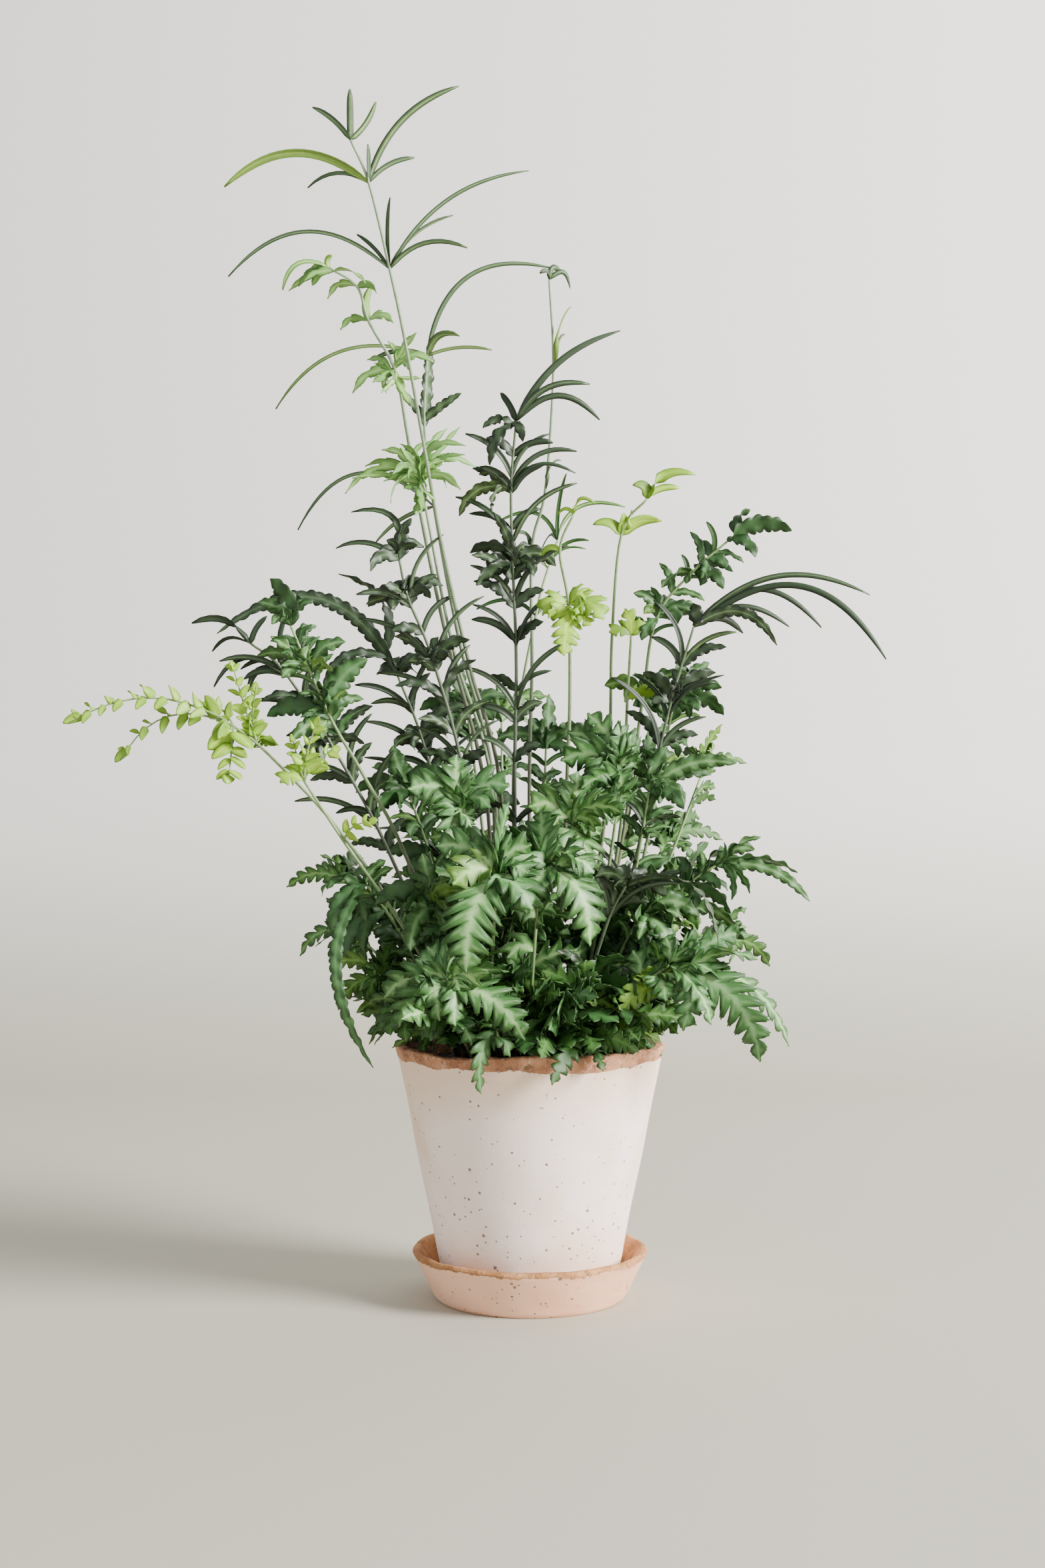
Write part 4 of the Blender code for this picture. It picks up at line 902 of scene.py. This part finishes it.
def paired_leaflets(draws, points, stretch, pitch, long, broad, upright):
    """Leaflets in pairs down from a stalk's tip, over a stretch of it."""
    rows = []
    spot = len(points) - 1.02
    gone = 0.0
    while gone < stretch and spot > 1.0:
        step = pitch * draws.uniform(0.8, 1.2)
        gone += step
        spot -= step / (points[int(spot) + 1] - points[int(spot)]).length
        way = way_at(points, spot)
        sideways = way.cross(Vector((0.0, -1.0, 0.0))).normalized()
        for side in (-1.0, 1.0):
            toward = Vector((0.0, draws.uniform(-0.4, 0.3), -0.05))
            reach = sideways * side + way * upright * draws.uniform(0.7, 1.3) + toward
            size = long * draws.uniform(0.75, 1.25)
            rows.append((spot, reach.normalized() * size, size * 0.15, broad * draws.uniform(0.88, 1.12)))
    return rows


def side_stalks(draws, points, skirt):
    """Short stalks that share a bushy frond's foot: (stalk points, leaflets) each."""
    short = points[-1].z - RIM_TOP < 0.13
    grown = []
    for order in range(5 if skirt else 2 if short else 1):
        foot = points[0] + Vector((draws.uniform(-0.006, 0.006), draws.uniform(-0.006, 0.006), 0.0))
        angle = math.atan2(points[-1].y, points[-1].x) + draws.uniform(-1.5, 1.5)
        height = draws.uniform(0.006, 0.03 if skirt or order else 0.085)
        lean = draws.uniform(0.010, 0.034) + max(0.0, 0.03 - height) * 0.4
        outward = Vector((math.cos(angle), math.sin(angle), 0.0))
        tip = Vector((foot.x, foot.y, 0.0)) * 0.9 + outward * lean + Vector((0.0, 0.0, RIM_TOP + height))
        middle = foot.lerp(tip, 0.55) + Vector((0.0, 0.0, 0.012)) - outward * 0.004
        way = (tip - middle).normalized()
        start = draws.uniform(0.0, math.tau)
        count = draws.choice((5, 6, 7))
        leaflets = []
        for index in range(count):
            turn = start + math.tau * index / count
            droop = Vector((0.0, 0.0, draws.uniform(-0.55, 0.30)))
            side = Vector((math.cos(turn), math.sin(turn), 0.0))
            reach = (side * 0.9 + outward * 0.35 + droop + way * 0.15).normalized()
            leaflets.append((
                2 - draws.uniform(0.0, 0.12), reach * draws.uniform(0.026, 0.044),
                draws.uniform(0.002, 0.007), draws.uniform(0.0095, 0.0135)))
        leaflets.append((2, (way + outward * 0.6).normalized() * draws.uniform(0.030, 0.048), 0.004, 0.0125))
        grown.append(([foot, middle, tip], leaflets))
    return grown


def stems_of(draws, group, points, leaflets):
    """A frond's stalk and its side stalks, each with its leaflets: (spot, reach, arch, width) in metres."""
    rows = [(spot, Vector((x, y, z)) * MM, arch * MM, width * MM) for spot, x, y, z, arch, width in leaflets]
    for pairs in PAIRS.get(group, ()):
        rows += paired_leaflets(draws, points, *pairs)
    if group in EXTRAS:
        rows += extra_leaflets(draws, points, leaflets, *EXTRAS[group])
    stems = [(points, rows)]
    if group in BUSHY:
        stems += side_stalks(draws, points, group == "low")
    return stems


def add_stalk(bm, shade_layer, points, foot_radius, tip_radius, sides, ripeness):
    """The wiry stalk: a ring extruded along the curve, closed at both ends."""
    last = len(points) - 1
    length = sum((b - a).length for a, b in zip(points, points[1:]))
    steps = max(10, int(length / 0.011))
    ring = bmesh.ops.create_circle(bm, cap_ends=True, segments=sides, radius=foot_radius)["verts"]
    faces = set(ring[0].link_faces)
    edges = [bm.edges.get((ring[i], ring[(i + 1) % sides])) for i in range(sides)]
    side = Vector((1.0, 0.0, 0.0))
    for step in range(steps + 1):
        share = step / steps
        centre = smooth_point(points, share * last)
        if step == 0 and ripeness == 0.0:
            centre = centre - Vector((0.0, 0.0, 0.004))  # the foot goes down into the mix
        way = way_at(points, share * last)
        side = (side - way * side.dot(way)).normalized()
        other = way.cross(side)
        radius = foot_radius + (tip_radius - foot_radius) * share ** 0.8
        if step:
            grown = bmesh.ops.extrude_edge_only(bm, edges=edges)["geom"]
            fresh = {item for item in grown if isinstance(item, bmesh.types.BMVert)}
            faces.update(item for item in grown if isinstance(item, bmesh.types.BMFace))
            ring = [
                next(edge.other_vert(vert) for edge in vert.link_edges if edge.other_vert(vert) in fresh)
                for vert in ring]
            edges = [bm.edges.get((ring[i], ring[(i + 1) % sides])) for i in range(sides)]
        for index, vert in enumerate(ring):
            angle = math.tau * index / sides
            vert.co = centre + side * math.cos(angle) * radius + other * math.sin(angle) * radius
            vert[shade_layer] = max(share, ripeness)
    faces.update(bmesh.ops.contextual_create(bm, geom=edges)["faces"])
    bmesh.ops.recalc_face_normals(bm, faces=list(faces))
    for face in faces:
        face.material_index = 1


def thickened(bm, thickness):
    """The open blades with their thickness, as closed thin solids in a new bmesh."""
    mesh = bpy.data.meshes.new("blades")
    bm.to_mesh(mesh)
    bm.free()
    holder = bpy.data.objects.new("blades", mesh)
    bpy.context.scene.collection.objects.link(holder)
    wall = holder.modifiers.new("Thickness", "SOLIDIFY")
    wall.thickness = thickness
    wall.offset = 0.0
    graph = bpy.context.evaluated_depsgraph_get()
    solid = bpy.data.meshes.new_from_object(holder.evaluated_get(graph))
    bpy.data.objects.remove(holder, do_unlink=True)
    bpy.data.meshes.remove(mesh)
    result = bmesh.new()
    result.from_mesh(solid)
    bpy.data.meshes.remove(solid)
    return result


def leaf_material(name, edge, middle, streak, streak_reach, vein, roughness):
    """Living fern blade: a thin waxy skin with a soft sheen, paler along the midrib and each lobe's vein."""
    material, tree, shader = new_material(name)
    edge, middle, streak = linear(edge), linear(middle), linear(streak)
    blade = add_node(tree, "ShaderNodeUVMap", uv_map="Blade")
    axes = add_node(tree, "ShaderNodeSeparateXYZ", {0: blade}).node.outputs
    centred = add_node(tree, MATH, {0: axes["X"], 1: 2.0, 2: -1.0}, operation="MULTIPLY_ADD")
    to_edge = add_node(tree, MATH, {0: centred}, operation="ABSOLUTE")
    place = add_node(tree, "ShaderNodeTexCoord", output="Object")
    drift = add_node(tree, NOISE, {"Vector": place, "Scale": 130.0, "Detail": 3.0, "Roughness": 0.6})
    # Distance from the midrib, made uneven by patches of 8 mm
    loose = add_node(tree, MATH, {0: drift, 1: 0.35, 2: to_edge}, operation="MULTIPLY_ADD")
    # The vein of each lobe, fading before the edge
    lobe = add_node(tree, MATH, {0: axes["Y"], 1: 0.12}, operation="ADD")
    lobe = add_node(tree, MATH, {0: lobe}, operation="FRACT")
    lobe = add_node(tree, MATH, {0: lobe, 1: 0.5}, operation="SUBTRACT")
    lobe = add_node(tree, MATH, {0: lobe}, operation="ABSOLUTE")
    line = add_node(
        tree, RANGE, {"Value": lobe, "From Min": 0.20, "From Max": 0.03, "To Max": vein}, **SMOOTH)
    fade = add_node(tree, RANGE, {"Value": loose, "From Min": 1.055, "From Max": 0.525}, **SMOOTH)
    line = add_node(tree, MATH, {0: line, 1: fade}, operation="MULTIPLY")
    # The streak along the midrib, strongest on the leaflets with the most light
    rib = add_node(
        tree, RANGE, {"Value": loose, "From Min": streak_reach * 1.5 + 0.175, "From Max": 0.175}, **SMOOTH)
    shade = add_node(tree, "ShaderNodeAttribute", output="Fac", attribute_name="shade")
    lit = add_node(tree, RANGE, {"Value": shade, "From Min": 0.15, "From Max": 0.8}, **SMOOTH)
    pale = add_node(tree, MATH, {0: rib, 1: line}, operation="MAXIMUM")
    pale = add_node(tree, MATH, {0: pale, 1: lit}, operation="MULTIPLY")
    inner = add_node(tree, RANGE, {"Value": loose, "From Min": 1.125, "From Max": 0.425}, **SMOOTH)
    colour = add_node(tree, MIX, {0: inner, 6: edge, 7: middle}, 2, data_type="RGBA")
    colour = add_node(tree, MIX, {0: pale, 6: colour, 7: streak}, 2, data_type="RGBA")
    # Leaflets differ by their shade value: a low one greys and darkens them, partly for age and partly as
    # painted shade, newer ones yellow, the newest fresh green
    tint = add_node(tree, "ShaderNodeValToRGB", {0: shade}, stops=(
        (0.0, linear("#A3AD93")), (0.45, linear("#F0F4E4")), (0.85, linear("#FFFFD8")),
        (1.0, linear("#FFF59A"))))
    colour = add_node(
        tree, MIX, {0: 0.85, 6: colour, 7: tint}, 2, data_type="RGBA", blend_type="MULTIPLY")
    fresh = add_node(
        tree, RANGE, {"Value": shade, "From Min": 0.78, "From Max": 1.0, "To Max": 0.40}, **SMOOTH)
    colour = add_node(tree, MIX, {0: fresh, 6: colour, 7: linear("#86AE3C")}, 2, data_type="RGBA")
    # Cells and fine veins are too fine to show, so they are drawn 1.4 mm apart
    cells = add_node(tree, NOISE, {"Vector": place, "Scale": 700.0, "Detail": 2.0, "Roughness": 0.6})
    flecks = add_node(
        tree, RANGE, {"Value": cells, "From Min": 0.4, "From Max": 0.7, "To Max": 0.18}, **SMOOTH)
    colour = add_node(tree, MIX, {0: flecks, 6: colour, 7: edge}, 2, data_type="RGBA")
    tree.links.new(colour, shader.inputs["Base Color"])
    relief = add_node(tree, MATH, {0: cells, 1: 0.25}, operation="MULTIPLY")
    relief = add_node(tree, MATH, {0: pale, 1: -0.5, 2: relief}, operation="MULTIPLY_ADD")
    bump = add_node(
        tree, "ShaderNodeBump", {"Height": relief, "Strength": 0.35, "Distance": 0.0004}, "Normal")
    tree.links.new(bump, shader.inputs["Normal"])
    shader.inputs["Roughness"].default_value = roughness
    shader.inputs["Specular IOR Level"].default_value = 0.35
    return material


def stalk_material(name, foot, middle, top):
    """Wiry fern stalk: brown and dull with scales at the foot, smooth and slightly glossy above."""
    material, tree, shader = new_material(name)
    foot, middle, top = linear(foot), linear(middle), linear(top)
    along = add_node(tree, "ShaderNodeAttribute", output="Fac", attribute_name="shade")
    colour = add_node(
        tree, "ShaderNodeValToRGB", {0: along},
        stops=((0.0, foot), (0.10, foot), (0.35, middle), (1.0, top)))
    place = add_node(tree, "ShaderNodeTexCoord", output="Object")
    # Scales 3 mm apart
    scales = add_node(tree, NOISE, {"Vector": place, "Scale": 350.0, "Detail": 3.0, "Roughness": 0.6})
    flecks = add_node(
        tree, RANGE, {"Value": scales, "From Min": 0.45, "From Max": 0.7, "To Max": 0.35}, **SMOOTH)
    colour = add_node(tree, MIX, {0: flecks, 6: colour, 7: foot}, 2, data_type="RGBA")
    tree.links.new(colour, shader.inputs["Base Color"])
    bump = add_node(
        tree, "ShaderNodeBump", {"Height": scales, "Strength": 0.3, "Distance": 0.0003}, "Normal")
    tree.links.new(bump, shader.inputs["Normal"])
    shader.inputs["Roughness"].default_value = 0.48
    return material


class LeafSettings(bpy.types.PropertyGroup):
    thickness: bpy.props.FloatProperty(
        name="Blade Thickness", description="Thickness of a leaflet's blade", default=0.00032, unit="LENGTH")
    stalk_foot: bpy.props.FloatProperty(
        name="Stalk Foot", description="Radius of a stalk at its foot", default=0.0013, unit="LENGTH")
    stalk_tip: bpy.props.FloatProperty(
        name="Stalk Tip", description="Radius of a stalk at its tip", default=0.0007, unit="LENGTH")
    fertile: bpy.props.StringProperty(
        name="Fertile Green", description="Colour of the narrow fertile leaflets, as hex", default="#33462F")
    sterile: bpy.props.StringProperty(
        name="Sterile Green", description="Colour of the lobed leaflets, as hex", default="#3B6235")
    silver: bpy.props.StringProperty(
        name="Silver", description="Colour of the pale streaks, as hex", default="#9CBF8E")
    young: bpy.props.StringProperty(
        name="Young Green", description="Colour of new leaflets, as hex", default="#8BB234")


FINISHES = {}


def leaf_finishes(s):
    """The leaf and stalk material of each group of fronds, made once."""
    if FINISHES:
        return FINISHES
    green_stalk = stalk_material("Wiry green stalk", "#46402C", "#667F50", "#7F9A60")
    pale_stalk = stalk_material("Waxy grey-green stalk", "#4A4634", "#6F8563", "#90A682")
    dark_stalk = stalk_material("Dark wiry stalk", "#2E2A22", "#48563F", "#5A6C4C")
    fertile = leaf_material("Leathery fertile blade", "#1F2A1C", s.fertile, "#647A5C", 0.18, 0.1, 0.46)
    tall = leaf_material("Narrow fertile blade", "#2E3B2A", "#46603C", "#849B7A", 0.18, 0.1, 0.46)
    sterile = leaf_material("Lobed green blade", "#29481F", s.sterile, "#70946A", 0.26, 0.25, 0.5)
    silver = leaf_material("Silver-veined blade", "#2A4D21", "#41703A", s.silver, 0.25, 0.40, 0.52)
    back = leaf_material("Faintly veined blade", "#294A1E", "#446E30", "#7AA068", 0.20, 0.35, 0.52)
    young = leaf_material("Soft new blade", "#6F9627", s.young, "#AECB55", 0.16, 0.3, 0.5)
    pale = leaf_material("Pale young blade", "#5F8B43", "#7FAB5F", "#B3D398", 0.22, 0.3, 0.5)
    FINISHES.update({
        "tall": (tall, pale_stalk), "dark": (fertile, dark_stalk), "pale": (pale, pale_stalk),
        "lime": (young, green_stalk), "green": (sterile, green_stalk), "silver": (silver, green_stalk),
        "back": (back, green_stalk), "low": (back, green_stalk)})
    return FINISHES


def cut_of(name, group, width):
    """The kind of cut that a leaflet of this width has."""
    if width < RIBBON_WIDTH:
        return "ribbon"
    cut = GROUP_CUTS.get(name, GROUP_CUTS[group])
    return "ovate" if cut == "cut" and width < OVATE_WIDTH else cut


def shade_of(draws, name, group, own):
    """A leaflet's age and painted light: 0 for old and in painted shade, 1 for new and bright."""
    shade = draws.betavariate(1.7, 1.9)
    if group == "dark":
        shade *= 0.8
    # Painted shade: the leaflets of these fronds are darkened as if they lay under the mound
    if name in PAINTED_SHADE_FRONDS:
        shade *= 0.55
    if name in FRESH:
        shade = max(shade, draws.uniform(0.75, 0.95))
    elif group in BUSHY:
        shade = min(shade, 0.80)
    if group == "silver" and own:
        shade = max(shade, 0.55)
    return shade


def grow_frond(row, s):
    """One frond: its stalks and every blade, as one piece in place of its CAD solid."""
    name, foot, path, leaflets = row
    group = name.split("_")[0]
    draws = random.Random(f"frond {name}")
    stalk = stalk_points(foot, path)
    turn = turn_of(name, stalk, leaflets)
    stems = stems_of(draws, group, stalk, leaflets)
    ribs = []
    bm = bmesh.new()
    layers = (bm.loops.layers.uv.new("Blade"), bm.verts.layers.float.new("shade"))
    for points, rows in stems:
        own = points is stalk
        for spot, reach, arch, width in rows:
            base = smooth_point(points, spot)
            hanging = reach.z < -0.5 * reach.length
            side_way = way_at(points, min(spot, len(points) - 1.05))
            if reach.normalized().dot(side_way) > 0.94:
                side_way = side_way.cross(Vector((0.0, -1.0, 0.0))).normalized()
            if hanging:
                side_way = Vector((1.0, 0.3, 0.0)).normalized()
            cut = cut_of(name, group, width)
            shade = shade_of(draws, name, group, own)
            if width < 0.0095 and reach.length > 0.06 and cut != "ribbon" and not hanging:
                width *= 1.4
            if group == "back" or group == "green" and reach.length < 0.023:
                width *= 0.74
            blade = (base, reach, arch, width)
            if name in FEATHERED and reach.length > 0.019:
                ribs.append([leaflet_point(base, reach, arch, step / 6.0) for step in range(7)])
                for part in feather_of(draws, blade):
                    grow_blade(
                        bm, layers, "ovate", part, side_way, draws.uniform(-0.4, 0.4),
                        min(1.0, shade + 0.2), draws.uniform(0.0, math.tau))
                continue
            for part in fan_of(draws, cut, blade, 0.1 if own else 0.65):
                grow_blade(
                    bm, layers, cut, part, side_way, draws.uniform(-0.55, 0.55),
                    min(1.0, max(0.0, shade + draws.uniform(-0.12, 0.12))),
                    draws.uniform(0.0, math.tau), coarse=not own)
    bm = thickened(bm, s.thickness)
    shade_layer = bm.verts.layers.float["shade"]
    for points, _ in stems:
        add_stalk(bm, shade_layer, points, s.stalk_foot, s.stalk_tip, 8, 0.0)
    for rib in ribs:
        add_stalk(bm, shade_layer, rib, s.stalk_tip, s.stalk_tip * 0.5, 6, 1.0)
    spin = Matrix.Rotation(math.radians(turn), 4, "Z")
    about = Matrix.Translation(stalk[0]) @ spin @ Matrix.Translation(-stalk[0])
    bmesh.ops.transform(bm, matrix=about, verts=bm.verts)
    leaf, stem = leaf_finishes(s)[group]
    object_from(bm, f"fern_{name}", [leaf, stem], [f"frond_{name}"])


def grow_group(context, groups):
    """Every frond of these groups, in the order of the rows."""
    for row in FRONDS:
        if row[0].split("_")[0] in groups:
            grow_frond(row, context.scene.fern_leaf)
    return {"FINISHED"}


class FERN_OT_fertile(bpy.types.Operator):
    """Grow the tall fertile fronds with their narrow leaflets"""
    bl_idname = "fern.fertile"
    bl_label = "Fertile Fronds"

    def execute(self, context):
        return grow_group(context, ("tall", "dark"))


class FERN_OT_young(bpy.types.Operator):
    """Grow the pale and yellow-green young fronds"""
    bl_idname = "fern.young"
    bl_label = "Young Fronds"

    def execute(self, context):
        return grow_group(context, ("pale", "lime"))


class FERN_OT_sterile(bpy.types.Operator):
    """Grow the lobed green fronds"""
    bl_idname = "fern.sterile"
    bl_label = "Green Fronds"

    def execute(self, context):
        return grow_group(context, ("green", "low"))


class FERN_OT_silver(bpy.types.Operator):
    """Grow the silver-veined fronds, in front and at the back"""
    bl_idname = "fern.silver"
    bl_label = "Silver Fronds"

    def execute(self, context):
        return grow_group(context, ("silver", "back"))


# ---------------------------------------------------------------- stage


class StageSettings(bpy.types.PropertyGroup):
    camera_distance: bpy.props.FloatProperty(
        name="Camera Distance", description="From the camera to the pot's axis", default=1.063, unit="LENGTH")
    camera_height: bpy.props.FloatProperty(
        name="Camera Height", description="Height of the camera above the floor", default=0.267,
        unit="LENGTH")
    lens: bpy.props.FloatProperty(
        name="Lens", description="Focal length on a 36 mm frame, in millimetres", default=40.9)
    # The floor's colour is darker than the wall's as painted shadow
    shadowed_floor_colour: bpy.props.StringProperty(
        name="Floor", description="Colour of the plain floor, as hex", default="#ABA798")
    wall_colour: bpy.props.StringProperty(
        name="Wall", description="Colour of the plain wall behind, as hex", default="#DEDDD9")


def add_area_light(name, place, aim, size, power, colour):
    light = bpy.data.lights.new(name, "AREA")
    light.shape = "DISK"
    light.size = size
    light.energy = power
    light.color = colour
    lamp = bpy.data.objects.new(name, light)
    lamp.location = place
    lamp.rotation_euler = (Vector(aim) - Vector(place)).to_track_quat("-Z", "Y").to_euler()
    bpy.context.scene.collection.objects.link(lamp)


class FERN_OT_stage(bpy.types.Operator):
    """Set up the floor, the soft light and the camera"""
    bl_idname = "fern.stage"
    bl_label = "Stage"

    def execute(self, context):
        s = context.scene.fern_stage
        material, tree, shader = new_material("Matt plaster stage")
        place = add_node(tree, "ShaderNodeTexCoord", output="Object")
        # Painted shadow: the floor is darker than the wall, and its colour fades into the wall's over the
        # first 0.4 m of height
        height = add_node(tree, "ShaderNodeSeparateXYZ", {0: place}, "Z")
        rise = add_node(tree, RANGE, {"Value": height, "From Max": 0.4}, **SMOOTH)
        tone = add_node(
            tree, MIX, {0: rise, 6: linear(s.shadowed_floor_colour), 7: linear(s.wall_colour)}, 2, data_type="RGBA")
        tree.links.new(tone, shader.inputs["Base Color"])
        shader.inputs["Roughness"].default_value = 0.9
        # A floor whose back edge is carried up a quarter-round cove into the wall
        half, wall_foot, cove, cove_steps, wall_top = 4.4, 0.9, 0.4, 12, 4.0
        bm = bmesh.new()
        bmesh.ops.create_grid(bm, x_segments=1, y_segments=1, size=half)
        back = [e for e in bm.edges if all(v.co.y > half - 0.1 for v in e.verts)]
        for vert in {v for edge in back for v in edge.verts}:
            vert.co.y = wall_foot
        for step in range(1, cove_steps + 1):
            grown = bmesh.ops.extrude_edge_only(bm, edges=back)["geom"]
            back = [item for item in grown if isinstance(item, bmesh.types.BMEdge) and item.is_boundary
                    and all(v in grown for v in item.verts)]
            angle = math.pi / 2.0 * step / cove_steps
            for vert in {v for edge in back for v in edge.verts}:
                vert.co.y = wall_foot + cove * math.sin(angle)
                vert.co.z = cove * (1.0 - math.cos(angle))
        grown = bmesh.ops.extrude_edge_only(bm, edges=back)["geom"]
        for vert in [item for item in grown if isinstance(item, bmesh.types.BMVert)]:
            vert.co.z = wall_top
        bmesh.ops.recalc_face_normals(bm, faces=bm.faces)
        mesh = bpy.data.meshes.new("stage_floor")
        bm.to_mesh(mesh)
        bm.free()
        mesh.materials.append(material)
        mesh.shade_smooth()
        floor = bpy.data.objects.new("stage_floor", mesh)
        context.scene.collection.objects.link(floor)

        world = bpy.data.worlds.new("Soft daylight")
        world.use_nodes = True
        sky = world.node_tree.nodes["Background"]
        sky.inputs["Color"].default_value = linear("#F1F4F6")
        sky.inputs["Strength"].default_value = 0.70
        context.scene.world = world
        add_area_light("window_light", (3.2, -1.5, 1.75), (0.0, 0.0, 0.3), 1.6, 580.0, (1.0, 0.985, 0.965))
        add_area_light("fill_light", (-1.4, -1.5, 0.9), (0.0, 0.0, 0.3), 1.6, 10.0, (0.97, 0.98, 1.0))

        camera = bpy.data.cameras.new("camera")
        camera.lens = s.lens
        camera.sensor_width = 36.0
        camera.shift_y = 0.04
        camera.clip_start = 0.01
        eye = bpy.data.objects.new("camera", camera)
        eye.location = (-0.0044, -s.camera_distance, s.camera_height)
        eye.rotation_euler = (math.pi / 2.0, 0.0, 0.0)
        context.scene.collection.objects.link(eye)
        context.scene.camera = eye
        return {"FINISHED"}


class FERN_PT_panel(bpy.types.Panel):
    """The fern's pieces and their sizes"""
    bl_idname = "FERN_PT_panel"
    bl_label = "Potted Fern"
    bl_space_type = "VIEW_3D"
    bl_region_type = "UI"
    bl_category = "Fern"

    def draw(self, context):
        for operators, settings in (
            (("fern.saucer",), context.scene.fern_saucer),
            (("fern.pot",), context.scene.fern_pot),
            (("fern.mix",), context.scene.fern_mix),
            (("fern.fertile", "fern.young", "fern.sterile", "fern.silver"), context.scene.fern_leaf),
            (("fern.stage",), context.scene.fern_stage),
        ):
            box = self.layout.box()
            for operator in operators:
                box.operator(operator)
            for name in settings.__annotations__:
                box.prop(settings, name)


SETTINGS = {
    "fern_saucer": SaucerSettings,
    "fern_pot": PotSettings,
    "fern_mix": MixSettings,
    "fern_leaf": LeafSettings,
    "fern_stage": StageSettings,
}
CLASSES = (
    *SETTINGS.values(), FERN_OT_saucer, FERN_OT_pot, FERN_OT_mix, FERN_OT_fertile, FERN_OT_young,
    FERN_OT_sterile, FERN_OT_silver, FERN_OT_stage, FERN_PT_panel,
)


def register():
    for item in CLASSES:
        bpy.utils.register_class(item)
    for name, group in SETTINGS.items():
        setattr(bpy.types.Scene, name, bpy.props.PointerProperty(type=group))


def unregister():
    for name in SETTINGS:
        delattr(bpy.types.Scene, name)
    for item in reversed(CLASSES):
        bpy.utils.unregister_class(item)


def main():
    register()
    bpy.ops.fern.stage()
    bpy.ops.fern.saucer()
    bpy.ops.fern.pot()
    bpy.ops.fern.mix()
    bpy.ops.fern.fertile()
    bpy.ops.fern.young()
    bpy.ops.fern.sterile()
    bpy.ops.fern.silver()


if __name__ == "__main__":
    main()
